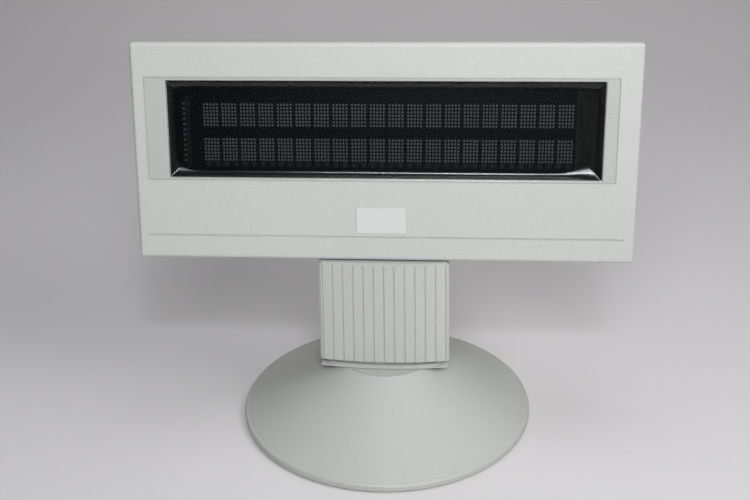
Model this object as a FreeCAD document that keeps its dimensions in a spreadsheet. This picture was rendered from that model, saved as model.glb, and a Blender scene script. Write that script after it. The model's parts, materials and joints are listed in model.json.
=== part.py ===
"""Two-line customer display: a tilting head on a ribbed column that swivels on a round weighted base.

Row frame: origin at the centre of the base on the counter, +Z up, the display looks towards -Y.
Head frame: origin at the middle of the head's lower front edge.
X points to the right, Y into the head and Z up the front face.
"""
import FreeCAD, Part
import math
import operator
import os

import Sketcher

DOCUMENT = "customer_display"

# alias, value in millimetres or degrees, what it is
SIZES = [
    # round base
    ("base_radius", 64.0, "outer radius of the base"),
    ("base_top_height", 28.0, "height of the base's top, flush with the swivel disc"),
    ("rim_width", 6.2, "width of the flat ring under the rim"),
    ("base_slope_radius", 330.0, "radius of the hollow sweep of the base's upper surface"),
    ("rim_gap", 0.8, "air under the rim, which the rubber feet leave"),
    ("rim_thickness", 1.7, "height of the rim's outer edge"),
    ("rim_lip", 1.2, "width and height of the rim's rounded lip"),
    ("swivel_recess_radius", 21.0, "radius of the recess that the swivel disc lies in"),
    ("swivel_recess_depth", 2.55, "depth of that recess"),
    ("ledge_thickness", 2.4, "floor of the recess"),
    ("recess_wall", 1.0, "how far the hollow's top reaches past the recess"),
    ("spindle_bore_radius", 10.0, "bore that the swivel spindle turns in"),
    ("spindle_boss_wall", 3.0, "wall round that bore"),
    ("spindle_boss_bottom", 16.0, "height of the boss's lower end"),
    ("stop_width", 5.0, "width of the swivel stop and of the tab that meets it"),
    ("stop_inner_gap", 1.2, "gap between the spindle's boss and the swivel stop"),
    ("stop_depth", 3.8, "how deep the swivel stop is, away from the axis"),
    ("cover_gap", 0.3, "gap round the bottom cover"),
    ("cover_bottom", 1.2, "height of the bottom cover's underside"),
    ("cover_thickness", 2.0, "thickness of the bottom cover"),
    ("weight_eye_gap", 4.0, "gap between the swivel stop and the weight"),
    ("weight_roof_gap", 1.49, "height between the weight's upper edge and the line of the sloping wall"),
    ("weight_thickness", 4.5, "thickness of the steel weight"),
    ("cover_screw_inset", 30.0, "distance of the cover screws from the base's edge"),
    ("cover_boss_radius", 3.6, "radius of the bosses for the cover screws"),
    ("boss_grip", 1.5, "how far those bosses reach into the wall above them"),
    ("cover_screw_bite", 7.0, "how deep the cover screws go into their bosses"),
    ("foot_radius", 6.0, "radius of a rubber foot"),
    ("foot_inset", 14.0, "distance of each rubber foot's middle from the base's edge"),
    # swivel
    ("swivel_gap", 0.3, "gap round the swivel disc, seen as a fine seam"),
    ("running_gap", 0.06, "radial clearance of shafts that turn"),
    ("glide_thickness", 0.5, "thickness of the glide ring"),
    ("glide_gap", 0.05, "play above the glide ring"),
    ("glide_inner_gap", 1.5, "gap between the spindle's bore and the glide ring"),
    ("glide_outer_gap", 0.7, "gap between the glide ring and the recess's wall"),
    ("spindle_wall", 3.0, "wall of the hollow spindle"),
    ("spindle_reach", 3.4, "how far the spindle reaches below its boss"),
    ("clip_groove_depth", 1.0, "depth of the clip's groove in the spindle"),
    ("clip_thickness", 0.8, "thickness of the retaining clip"),
    ("clip_reach", 2.4, "how far the retaining clip reaches past the bore"),
    ("washer_thickness", 1.0, "thickness of the retaining washer"),
    ("washer_reach", 3.2, "how far the retaining washer reaches past the bore"),
    ("tab_gap", 0.6, "how much shorter than the stop the washer's tab is"),
    # column
    ("column_bottom_width", 55.6, "width of the ribbed column at its foot"),
    ("column_top_width", 54.2, "width of the ribbed column at its top"),
    ("column_side_depth", 26.2, "depth of the column at its corners"),
    ("column_bow", 2.5, "how far front and back bow out between the corners"),
    ("column_bottom", 31.7, "height of the ribbed column's lower edge"),
    ("column_top", 77.5, "height of the ribbed column's upper edge"),
    ("column_side_wall", 2.5, "wall at the ribbed column's sides, at its top"),
    ("column_front_wall", 1.6, "wall at the ribbed column's corners, front and back"),
    ("rib_pitch", 4.4, "distance from groove to groove"),
    ("groove_width", 0.9, "width of the V groove between two ribs"),
    ("groove_depth", 0.5, "depth of that groove"),
    ("column_corner", 0.7, "bevel on the column's corners"),
    ("seat_rise", 0.3, "height of the disc's raised seat, which keeps the column's foot clear of the base"),
    ("seat_inset", 6.0, "how far that seat stays inside the recess"),
    ("foot_plate_thickness", 0.4, "thickness of the plate at the column's foot"),
    ("foot_plate_inset", 0.3, "how far that plate stays inside the column's outline"),
    ("foot_boss_height", 0.8, "height of the rounded boss on the plate"),
    ("foot_boss_inset", 0.9, "how far the boss stays inside the outline"),
    ("foot_boss_corner", 10.0, "corner radius of the boss"),
    ("foot_core_inset", 2.6, "how far the shadow gap is set back"),
    ("foot_screw_gap", 5.0, "distance of the foot's screws from the spindle's bore"),
    ("foot_screw_bite", 6.0, "how deep those screws go into the foot"),
    ("foot_spigot_height", 6.0, "height of the spigot inside the column"),
    ("collar_height", 12.0, "height of the collars that hold the tube"),
    ("collar_wall", 2.8, "wall of those collars"),
    ("slide_gap", 0.2, "gap between parts pushed together by hand"),
    ("tube_radius", 8.0, "outer radius of the steel tube in the column"),
    ("tube_wall", 1.25, "wall of that tube"),
    ("tube_seat", 29.0, "height at which the tube stands in the foot"),
    ("setscrew_radius", 1.5, "radius of the set screw in the upper collar"),
    ("cap_thickness", 0.9, "thickness of the top cap's plate"),
    ("cap_inset", 0.5, "how far the cap stays inside the column's outline"),
    ("cap_spigot_height", 2.5, "height of the cap's spigot"),
    ("cap_corner", 2.0, "corner radius of the cap"),
    ("cap_screw_x", 16.0, "X of the top cap's screws"),
    ("flange_thickness", 3.0, "thickness of the knuckle's flange"),
    ("pedestal_depth", 11.6, "depth of the knuckle's neck"),
    ("barrel_radius", 6.6, "radius of the knuckle's barrel"),
    ("washer_play", 0.2, "play beside each friction washer"),
    # tilt hinge, in the head frame
    ("lip_forward", -13.5, "Y of the head's lower front edge in the row frame"),
    ("lip_height", 79.5, "Z of the head's lower front edge in the row frame"),
    ("head_tilt", 10.9, "how far the head leans back at rest"),
    ("pivot_depth", 12.0, "how far the tilt axis lies behind the front face"),
    ("pivot_rise", 9.0, "how far the tilt axis lies above the lower edge"),
    ("pin_radius", 2.5, "radius of the hinge pin"),
    ("pin_head_radius", 4.4, "radius of the pin's head"),
    ("pin_head_thickness", 2.0, "thickness of the pin's head"),
    ("pin_thread", 4.0, "length of pin beyond the spring washer"),
    ("bracket_thickness", 2.0, "sheet of the tilt bracket"),
    ("bracket_inner", 52.0, "distance between the bracket's ears"),
    ("bracket_ear_radius", 6.2, "radius of each ear round the pin"),
    ("bracket_back", 30.0, "depth at which the bracket's web ends"),
    ("web_screw_side_gap", 8.0, "distance of the bracket's screws from its ears"),
    ("web_screw_inset", 4.0, "distance of those screws from the bracket's ends"),
    ("web_screw_bite", 5.0, "how deep they go into the housing"),
    ("web_boss_height", 5.6, "height of the bosses that take them"),
    ("friction_washer_thickness", 1.0, "thickness of a friction washer"),
    ("friction_washer_radius", 5.8, "radius of a friction washer"),
    ("spring_washer_thickness", 0.8, "thickness of the spring washer"),
    ("nut_thickness", 3.0, "thickness of the hinge nut"),
    ("nut_corner_radius", 4.6, "distance from the nut's centre to its corners"),
    # head housing
    ("head_width", 204.0, "width of the head's front"),
    ("head_height", 88.7, "height of the head's front"),
    ("head_depth", 42.0, "depth of the head"),
    ("head_split", 14.0, "depth of the front bezel, up to the rear cover"),
    ("head_draft", 1.75, "draft of the head's sides"),
    ("head_wall", 2.2, "side walls of the head"),
    ("front_wall", 2.5, "front wall of the bezel"),
    ("back_wall", 2.4, "back wall of the rear cover"),
    ("edge_round", 1.6, "rounding of the head's edges"),
    ("window_width", 175.6, "width of the window"),
    ("window_bottom", 33.9, "lower edge of the window"),
    ("window_top", 73.55, "upper edge of the window"),
    ("window_bevel", 0.3, "bevel round the window"),
    ("line_rise", 9.4, "height of the fine groove across the front"),
    ("line_width", 0.8, "width of that groove"),
    ("line_depth", 0.5, "depth of that groove"),
    ("line_side_gap", 4.3, "distance from that groove's ends to the head's sides"),
    ("badge_left", -10.9, "left edge of the blank badge"),
    ("badge_bottom", 11.6, "lower edge of the blank badge"),
    ("badge_width", 20.1, "width of the blank badge"),
    ("badge_height", 10.6, "height of the blank badge"),
    ("badge_thickness", 0.25, "thickness of the blank badge"),
    ("pocket_side_gap", 5.0, "gap beside the bracket in the pocket that the hinge works in"),
    ("pocket_rise", 22.0, "height of that pocket"),
    ("pocket_wall", 2.0, "walls of that pocket"),
    ("corner_screw_inset", 12.0, "distance of the housing screws from the head's sides"),
    ("corner_screw_low", 9.0, "height of the lower housing screws"),
    ("corner_screw_drop", 6.3, "distance of the upper housing screws from the head's top"),
    ("corner_boss_radius", 3.2, "radius of the housing bosses"),
    ("corner_screw_bite", 7.0, "how deep the housing screws go into the bezel"),
    ("screw_seat_depth", 30.0, "depth of the seats of the housing screws"),
    ("vent_width", 2.0, "width of a vent slot"),
    ("vent_bottom", 58.0, "lower end of the vent slots"),
    ("vent_top", 76.0, "upper end of the vent slots"),
    ("vent_pitch", 6.0, "distance from slot to slot"),
    # display module
    ("film_reach_left", 8.5, "how far the protective film reaches past the window's left"),
    ("film_reach_right", 5.3, "how far it reaches past the window's right"),
    ("film_reach_low", 0.6, "how far it reaches below the window"),
    ("film_reach_high", 1.3, "how far it reaches above the window"),
    ("film_thickness", 0.2, "thickness of the film with its adhesive"),
    ("lens_margin", 2.6, "how far the lens reaches past the window"),
    ("lens_thickness", 2.0, "thickness of the lens"),
    ("gasket_thickness", 1.5, "thickness of the light gasket"),
    ("gasket_width", 4.4, "width of the gasket's strip"),
    ("tube_side_gap", 1.3, "how far the display tube stays inside the window's sides"),
    ("tube_low_gap", 1, "how far it stays above the window's lower edge"),
    ("tube_high_gap", 0.1, "how far it stays below the window's upper edge"),
    ("cover_glass_depth", 3.4, "depth of the tube's front glass"),
    ("cover_glass_wall", 1.5, "wall of the tube's front glass"),
    ("anode_glass_thickness", 2.5, "thickness of the tube's back glass"),
    ("character_gap", 1.32, "gap between two characters"),
    ("character_height", 9.6, "height of a character's anodes"),
    ("character_margin", 10.96, "distance from the tube's ends to the character field"),
    ("row_pitch", 14.0, "distance from row to row"),
    ("grid_centre_x", 0.9, "X of the middle of the character field"),
    ("grid_rise", 17.6, "height of the middle of the character field above the window's lower edge"),
    ("anode_thickness", 0.1, "thickness of the printed anodes"),
    ("filament_radius", 0.08, "radius of a filament wire"),
    ("filament_depth", 0.9, "distance of the filaments in front of the back glass"),
    ("filament_pitch", 14.2, "distance from filament to filament"),
    ("anchor_inset", 4.5, "distance of the filament anchors from the tube's ends"),
    ("anchor_width", 2.0, "width of a filament anchor"),
    ("anchor_height", 29.6, "height of a filament anchor"),
    ("anchor_depth", 1.35, "depth of a filament anchor"),
    ("tube_pin_margin", 12.84, "distance of the first tube pin from the tube's end"),
    ("tube_pin_side", 0.6, "side of a tube pin"),
    ("tube_pin_rise", 1.7, "height of the row of tube pins above the tube's lower edge"),
    ("frame_side_gap", 4.5, "distance of the carrier frame from the head's outer sides"),
    ("frame_reach_low", 5.9, "how far the carrier frame reaches below the window"),
    ("frame_reach_high", 5.05, "how far the carrier frame reaches above the window"),
    ("frame_depth", 10.0, "depth of the carrier frame"),
    ("module_screw_inset", 3.3, "distance of the module screws from the frame's sides"),
    ("module_screw_rise", 8.0, "distance of the lower module screws from the frame's lower edge"),
    ("module_screw_drop", 6.6, "distance of the upper module screws from its upper edge"),
    ("module_boss_radius", 2.9, "radius of the module bosses"),
    ("board_thickness", 1.6, "thickness of the circuit boards"),
    # parts on the boards
    ("chip_width", 20.0, "width of a driver chip"),
    ("chip_height", 14.0, "height of a driver chip"),
    ("chip_thickness", 2.4, "thickness of a driver chip"),
    ("chip_pitch", 34.0, "distance from driver chip to driver chip"),
    ("chip_offset", 7.0, "how far the row of driver chips is moved to the right"),
    ("chip_rise", 52.0, "lower edge of the driver chips"),
    ("capacitor_radius", 4.0, "radius of a capacitor"),
    ("capacitor_length", 11.0, "length of a capacitor"),
    ("capacitor_pitch", 10.4, "distance from capacitor to capacitor"),
    ("capacitor_x", -74.0, "X of the first capacitor"),
    ("capacitor_rise", 38.0, "height of the capacitors"),
    ("inductor_radius", 7.5, "outer radius of the inductor"),
    ("inductor_hole", 3.5, "radius of the inductor's hole"),
    ("inductor_height", 8.0, "height of the inductor"),
    ("inductor_x", -30.0, "X of the inductor"),
    ("inductor_rise", 40.0, "height of the inductor's middle"),
    ("interface_side_gap", 16, "distance from the head's side to the interface board"),
    ("interface_width", 44.0, "width of the interface board"),
    ("interface_front", 19.0, "front edge of the interface board"),
    ("interface_rise", 11.0, "height of the interface board"),
    ("interface_boss_radius", 3.0, "radius of the bosses under the interface board"),
    ("interface_screw_inset", 4.0, "distance of its screws from its edges"),
    ("interface_screw_bite", 5.0, "how deep its screws go into their bosses"),
    ("socket_inset", 8.0, "distance from the board's edge to the data socket"),
    ("socket_width", 16.0, "width of the data socket"),
    ("socket_height", 13.0, "height of the data socket"),
    ("socket_length", 17.0, "length of the data socket"),
    ("socket_mouth_width", 12.0, "width of the socket's mouth"),
    ("socket_mouth_height", 8.4, "height of the socket's mouth"),
    ("socket_mouth_depth", 12.0, "depth of the socket's mouth"),
    ("ribbon_inset", 28.0, "distance from the board's edge to the ribbon cable"),
    ("ribbon_width", 14.0, "width of the ribbon cable"),
    ("ribbon_thickness", 0.4, "thickness of the ribbon cable"),
    ("ribbon_depth", 3.22, "how far behind the display board the ribbon runs"),
    ("connector_margin", 1.5, "how far a ribbon connector reaches past the ribbon"),
    ("connector_depth", 4.6, "depth of a ribbon connector"),
    ("connector_height", 5.0, "height of a ribbon connector"),
    ("connector_rise", 31.0, "height of the upper ribbon connector"),
    # screws
    ("screw_radius", 1.25, "radius of the housing and module screws"),
    ("screw_hole_gap", 0.3, "how much wider a through hole is than its screw"),
    ("pilot_spare", 1.0, "how much deeper a pilot hole is than its screw"),
    ("screw_tip_gap", 0.5, "material left beyond a screw's tip"),
    ("boss_sink", 0.5, "how far a boss is sunk into the wall that carries it"),
    ("screw_head_radius", 2.5, "radius of their heads"),
    ("screw_head_thickness", 1.6, "thickness of their heads"),
    ("small_screw_radius", 1.1, "radius of the small screws"),
    ("small_head_radius", 2.0, "radius of their heads"),
    ("small_head_thickness", 1.0, "thickness of their heads"),
    ("drive_radius", 0.8, "radius of the drive recess in a screw's head"),
]

ROW_COUNT = 2
CHARACTERS_PER_ROW = 20
COVER_SCREWS = 3
RUBBER_FEET = 4
VENTS_PER_SIDE = 9
FILAMENTS = 3
TUBE_PINS = 30
DRIVER_CHIPS = 4
CAPACITORS = 3

doc = FreeCAD.newDocument(DOCUMENT)
sheet = doc.addObject("Spreadsheet::Sheet", "Sizes")


# ---------------------------------------------------------------- sizes that carry their formula
class Size:
    """A length or angle with its spreadsheet formula and its present value."""

    def __init__(self, formula, value):
        self.formula = formula
        self.value = value

    def __add__(self, other):
        return joined(self, "+", other)

    def __radd__(self, other):
        return joined(other, "+", self)

    def __sub__(self, other):
        return joined(self, "-", other)

    def __rsub__(self, other):
        return joined(other, "-", self)

    def __mul__(self, other):
        return joined(self, "*", other)

    def __rmul__(self, other):
        return joined(other, "*", self)

    def __truediv__(self, other):
        return joined(self, "/", other)

    def __neg__(self):
        return joined(0, "-", self)


SIGNS = {"+": operator.add, "-": operator.sub, "*": operator.mul, "/": operator.truediv}


def as_size(number):
    if isinstance(number, Size):
        return number
    return Size(f"({number})" if number < 0 else str(number), float(number))


def joined(left, sign, right):
    a, b = as_size(left), as_size(right)
    return Size(f"({a.formula} {sign} {b.formula})", SIGNS[sign](a.value, b.value))


def sine(angle):
    return Size(f"sin({angle.formula})", math.sin(math.radians(angle.value)))


def cosine(angle):
    return Size(f"cos({angle.formula})", math.cos(math.radians(angle.value)))


def tangent(angle):
    return Size(f"tan({angle.formula})", math.tan(math.radians(angle.value)))


class Dimensions:
    """Every named size of the sheet, as an attribute."""


dim = Dimensions()
for line, (alias, number, meaning) in enumerate(SIZES, start=1):
    sheet.set(f"A{line}", alias)
    sheet.set(f"B{line}", str(number))
    sheet.set(f"C{line}", meaning)
    sheet.setAlias(f"B{line}", alias)
    setattr(dim, alias, Size(f"Sizes.{alias}", number))

# sizes and places that follow from the pieces they fit
dim.inner_rim = dim.base_radius - dim.rim_width
dim.weight_bottom = dim.cover_bottom + dim.cover_thickness
dim.ledge_top = dim.base_top_height - dim.swivel_recess_depth
dim.ledge_bottom = dim.ledge_top - dim.ledge_thickness
dim.hollow_top_radius = dim.swivel_recess_radius + dim.recess_wall
wall_run, wall_rise = dim.inner_rim - dim.hollow_top_radius, dim.ledge_bottom - dim.weight_bottom
weight_rise = dim.weight_thickness + dim.weight_roof_gap
dim.weight_outer = dim.inner_rim - wall_run * weight_rise / wall_rise
dim.cover_screw_circle = dim.base_radius - dim.cover_screw_inset
dim.foot_circle = dim.base_radius - dim.foot_inset
dim.stop_inner = dim.spindle_bore_radius + dim.spindle_boss_wall + dim.stop_inner_gap
dim.stop_outer = dim.stop_inner + dim.stop_depth
dim.tab_outer = dim.stop_outer - dim.tab_gap
dim.weight_inner = dim.stop_outer + dim.weight_eye_gap
dim.glide_inner = dim.spindle_bore_radius + dim.glide_inner_gap
dim.glide_outer = dim.swivel_recess_radius - dim.glide_outer_gap
dim.spindle_bottom = dim.spindle_boss_bottom - dim.spindle_reach
dim.clip_outer = dim.spindle_bore_radius + dim.clip_reach
dim.washer_outer = dim.spindle_bore_radius + dim.washer_reach
dim.seat_radius = dim.swivel_recess_radius - dim.seat_inset
dim.foot_screw_x = dim.spindle_bore_radius + dim.foot_screw_gap
dim.column_cavity_width = dim.column_top_width - dim.column_side_wall * 2
dim.column_cavity_depth = dim.column_side_depth - dim.column_front_wall * 2
dim.collar_radius = dim.tube_radius + dim.collar_wall
dim.barrel_width = dim.bracket_inner - (dim.friction_washer_thickness + dim.washer_play) * 2
dim.web_screw_x = dim.bracket_inner / 2 - dim.web_screw_side_gap
dim.pocket_width = dim.bracket_inner + (dim.bracket_thickness + dim.pocket_side_gap) * 2
dim.line_length = dim.head_width - dim.line_side_gap * 2
dim.corner_screw_x = dim.head_width / 2 - dim.corner_screw_inset
dim.corner_screw_high = dim.head_height - dim.corner_screw_drop
dim.film_left = 0 - dim.window_width / 2 - dim.film_reach_left
dim.film_right = dim.window_width / 2 + dim.film_reach_right
dim.film_bottom = dim.window_bottom - dim.film_reach_low
dim.film_top = dim.window_top + dim.film_reach_high
dim.tube_glass_width = dim.window_width - dim.tube_side_gap * 2
dim.tube_glass_bottom = dim.window_bottom + dim.tube_low_gap
dim.tube_glass_top = dim.window_top - dim.tube_high_gap
dim.character_field = dim.tube_glass_width + dim.character_gap - dim.character_margin * 2
dim.character_pitch = dim.character_field / CHARACTERS_PER_ROW
dim.character_width = dim.character_pitch - dim.character_gap
dim.grid_centre_rise = dim.window_bottom + dim.grid_rise
dim.anchor_x = dim.tube_glass_width / 2 - dim.anchor_inset
dim.tube_pin_pitch = (dim.tube_glass_width - dim.tube_pin_margin * 2) / (TUBE_PINS - 1)
dim.tube_pin_height = dim.tube_glass_bottom + dim.tube_pin_rise
dim.frame_half_width = dim.head_width / 2 - dim.frame_side_gap
dim.frame_bottom = dim.window_bottom - dim.frame_reach_low
dim.frame_top = dim.window_top + dim.frame_reach_high
dim.module_screw_x = dim.frame_half_width - dim.module_screw_inset
dim.module_screw_low = dim.frame_bottom + dim.module_screw_rise
dim.module_screw_high = dim.frame_top - dim.module_screw_drop
dim.interface_right = dim.head_width / 2 - dim.interface_side_gap
dim.interface_left = dim.interface_right - dim.interface_width
dim.socket_left = dim.interface_left + dim.socket_inset
dim.ribbon_left = dim.interface_left + dim.ribbon_inset
doc.recompute()


def bind(thing, **properties):
    """Set each property to its size now, and tie it to the sheet."""
    for name, size in properties.items():
        size = as_size(size)
        setattr(thing, name, size.value)
        thing.setExpression(name, size.formula)


def put(thing, x, y, z, axis=(0, 0, 1), angle=0):
    """Place a thing, with its position and angle tied to the sheet."""
    x, y, z, angle = as_size(x), as_size(y), as_size(z), as_size(angle)
    turn = FreeCAD.Rotation(FreeCAD.Vector(*axis), angle.value)
    thing.Placement = FreeCAD.Placement(FreeCAD.Vector(x.value, y.value, z.value), turn)
    thing.setExpression("Placement.Base.x", x.formula)
    thing.setExpression("Placement.Base.y", y.formula)
    thing.setExpression("Placement.Base.z", z.formula)
    if angle.value:
        thing.setExpression("Placement.Rotation.Angle", angle.formula)


# ---------------------------------------------------------------- solids
def box(name, x, y, z):
    """A block; x, y and z are each a low and a high value."""
    block = doc.addObject("Part::Box", name)
    bind(block, Length=x[1] - x[0], Width=y[1] - y[0], Height=z[1] - z[0])
    put(block, x[0], y[0], z[0])
    return block


def wedge(name, y, front, back):
    """A block whose ends, at the two y values, are rectangles (x low, x high, z low, z high)."""
    block = doc.addObject("Part::Wedge", name)
    bind(block, Ymin=y[0], Ymax=y[1])
    bind(block, Xmin=front[0], Xmax=front[1], Zmin=front[2], Zmax=front[3])
    bind(block, X2min=back[0], X2max=back[1], Z2min=back[2], Z2max=back[3])
    return block


def rod(name, radius, along, start, end, across=(0, 0)):
    """A round bar along one axis; across gives its centre on the two other axes, in X, Y, Z order."""
    bar = doc.addObject("Part::Cylinder", name)
    bind(bar, Radius=radius, Height=end - start)
    if along == "x":
        put(bar, start, across[0], across[1], (0, 1, 0), 90)
    elif along == "y":
        put(bar, across[0], start, across[1], (-1, 0, 0), 90)
    else:
        put(bar, across[0], across[1], start)
    return bar


def fuse(name, *pieces):
    if len(pieces) == 1:
        return pieces[0]
    whole = doc.addObject("Part::MultiFuse", name)
    whole.Shapes = list(pieces)
    return whole


def cut(name, base, *tools):
    rest = doc.addObject("Part::Cut", name)
    rest.Base = base
    rest.Tool = fuse(name + "_tools", *tools)
    return rest


def common(name, first, second):
    shared = doc.addObject("Part::Common", name)
    shared.Base = first
    shared.Tool = second
    return shared


def group(name, pieces):
    several = doc.addObject("Part::Compound", name)
    several.Links = list(pieces)
    return several


def ring(name, outer, inner, along, start, end, across=(0, 0)):
    return cut(
        name,
        rod(name + "_outside", outer, along, start, end, across),
        rod(name + "_hole", inner, along, start - 1, end + 1, across),
    )


def screw(name, along, seat, tip, across, head, shank, outward):
    """A pan-head screw. Its head sits on seat and stands out along outward, +1 or -1."""
    head_radius, head_thickness = head
    top = seat + head_thickness * outward
    low, high = (seat, top) if outward > 0 else (top, seat)
    start, end = (tip, seat) if outward > 0 else (seat, tip)
    drive = (top - head_thickness / 2, top + 1) if outward > 0 else (top - 1, top + head_thickness / 2)
    body = fuse(
        name + "_body",
        rod(name + "_head", head_radius, along, low, high, across),
        rod(name + "_shank", shank, along, start, end, across),
    )
    return cut(name, body, rod(name + "_drive", dim.drive_radius, along, drive[0], drive[1], across))


# ---------------------------------------------------------------- sketched bodies
PLANES = {"XY": "XY_Plane", "XZ": "XZ_Plane"}


def origin_plane(body, role):
    return [feature for feature in body.Origin.OriginFeatures if feature.Role == role][0]


def arc_middle(first, last, radius):
    """Middle of the arc between two points, on the right of the way, or the left if radius is negative."""
    chord = last - first
    rise = abs(radius) - math.sqrt(radius ** 2 - chord.Length ** 2 / 4)
    side = FreeCAD.Vector(chord.y, -chord.x, 0).normalize()
    return (first + last) / 2 + side * math.copysign(rise, radius)


def outline(body, name, plane, corners, offset=None):
    """A sketch of the outline on one of the body's own planes, or at an offset from it."""
    sketch = body.newObject("Sketcher::SketchObject", name)
    sketch.AttachmentSupport = [(origin_plane(body, PLANES[plane]), "")]
    sketch.MapMode = "FlatFace"
    if offset is not None:
        sketch.AttachmentOffset = FreeCAD.Placement(FreeCAD.Vector(0, 0, offset.value), FreeCAD.Rotation())
        sketch.setExpression("AttachmentOffset.Base.z", offset.formula)
    draw_outline(sketch, corners)
    return sketch


def draw_outline(sketch, corners):
    """Draw a closed outline and tie it. A corner is (x, y), or (x, y, radius) where an arc leaves it."""
    points = [FreeCAD.Vector(as_size(c[0]).value, as_size(c[1]).value, 0) for c in corners]
    ends = []
    for index, corner in enumerate(corners):
        first, last = points[index], points[(index + 1) % len(points)]
        if len(corner) == 3:
            size = as_size(corner[2])
            middle = arc_middle(first, last, size.value)
            # a sketch keeps its arcs anticlockwise, so one that bulges left is drawn backwards
            forward = size.value > 0
            arc = Part.Arc(first, middle, last) if forward else Part.Arc(last, middle, first)
            edge = sketch.addGeometry(arc, False)
            ends.append((edge, 1, 2) if forward else (edge, 2, 1))
            radius = size if forward else -size
            tie = sketch.addConstraint(Sketcher.Constraint("Radius", edge, radius.value))
            sketch.setExpression(f"Constraints[{tie}]", radius.formula)
        else:
            edge = sketch.addGeometry(Part.LineSegment(first, last), False)
            ends.append((edge, 1, 2))
    for index, (edge, start, end) in enumerate(ends):
        after = ends[(index + 1) % len(ends)]
        sketch.addConstraint(Sketcher.Constraint("Coincident", edge, end, after[0], after[1]))
        for kind, size in zip(("DistanceX", "DistanceY"), corners[index]):
            size = as_size(size)
            tie = sketch.addConstraint(Sketcher.Constraint(kind, -1, 1, edge, start, size.value))
            sketch.setExpression(f"Constraints[{tie}]", size.formula)


def new_body(name):
    return doc.addObject("PartDesign::Body", name)


def pad(body, name, sketch, length, reverse=False, draft=None):
    feature = body.newObject("PartDesign::Pad", name)
    feature.Profile = sketch
    feature.Reversed = reverse
    bind(feature, Length=length)
    if draft is not None:
        bind(feature, TaperAngle=draft)
    doc.recompute()
    return feature


def round_edges(body, name, feature, radius, chosen):
    """Round those edges of a feature for which chosen(edge) is true."""
    names = [f"Edge{i}" for i, edge in enumerate(feature.Shape.Edges, start=1) if chosen(edge)]
    fillet = body.newObject("PartDesign::Fillet", name)
    fillet.Base = (feature, names)
    bind(fillet, Radius=radius)
    doc.recompute()
    return fillet


def revolved(name, corners):
    """A ring turned about Z; corners are (radius, height), clear of the axis."""
    sketch = doc.addObject("Sketcher::SketchObject", name + "_profile")
    sketch.Placement = FreeCAD.Placement(FreeCAD.Vector(), FreeCAD.Rotation(FreeCAD.Vector(1, 0, 0), 90))
    draw_outline(sketch, corners)
    turned = doc.addObject("Part::Revolution", name)
    turned.Source = sketch
    turned.Axis = FreeCAD.Vector(0, 0, 1)
    turned.Angle = 360
    turned.Solid = True
    return turned


def bowed_plate(name, half_width, half_depth, corner, z):
    """A plate whose front and back bow outwards like the column's, with rounded corners."""
    bow = dim.column_bow
    sweep = (half_width * half_width + bow * bow) / (2 * bow)
    body = new_body(name)
    corners = [
        (-half_width, -half_depth, sweep),
        (half_width, -half_depth),
        (half_width, half_depth, sweep),
        (-half_width, half_depth),
    ]
    sketch = outline(body, name + "_outline", "XY", corners, as_size(z[0]))
    plate = pad(body, name + "_pad", sketch, z[1] - z[0])
    if corner is not None:
        upright = lambda edge: abs(edge.tangentAt(edge.FirstParameter).z) > 0.9
        round_edges(body, name + "_corners", plate, corner, upright)
    return body


# ---------------------------------------------------------------- naming and placing the pieces
nodes = {}


def in_row(name, piece):
    """Name a piece that is built where it stands in the row frame."""
    piece.Label = name
    nodes[name] = piece


def in_head(name, piece):
    """Name a piece that is built in the head frame, and lean it back with the head."""
    if piece.TypeId in ("Part::Box", "Part::Cylinder"):
        piece = group(name + "_piece", [piece])
    put(piece, 0, dim.lip_forward, dim.lip_height, (-1, 0, 0), dim.head_tilt)
    in_row(name, piece)


pivot_y = dim.lip_forward + dim.pivot_depth * cosine(dim.head_tilt) + dim.pivot_rise * sine(dim.head_tilt)
pivot_z = dim.lip_height - dim.pivot_depth * sine(dim.head_tilt) + dim.pivot_rise * cosine(dim.head_tilt)
small_head = (dim.small_head_radius, dim.small_head_thickness)
housing_head = (dim.screw_head_radius, dim.screw_head_thickness)
screw_hole = dim.screw_radius + dim.screw_hole_gap
small_hole = dim.small_screw_radius + dim.screw_hole_gap


def around(count, radius, first_angle):
    """Centres of things spread round the axis."""
    turns = [first_angle + 360 * index / count for index in range(count)]
    return [(radius * math.cos(math.radians(a)), radius * math.sin(math.radians(a))) for a in turns]


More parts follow.
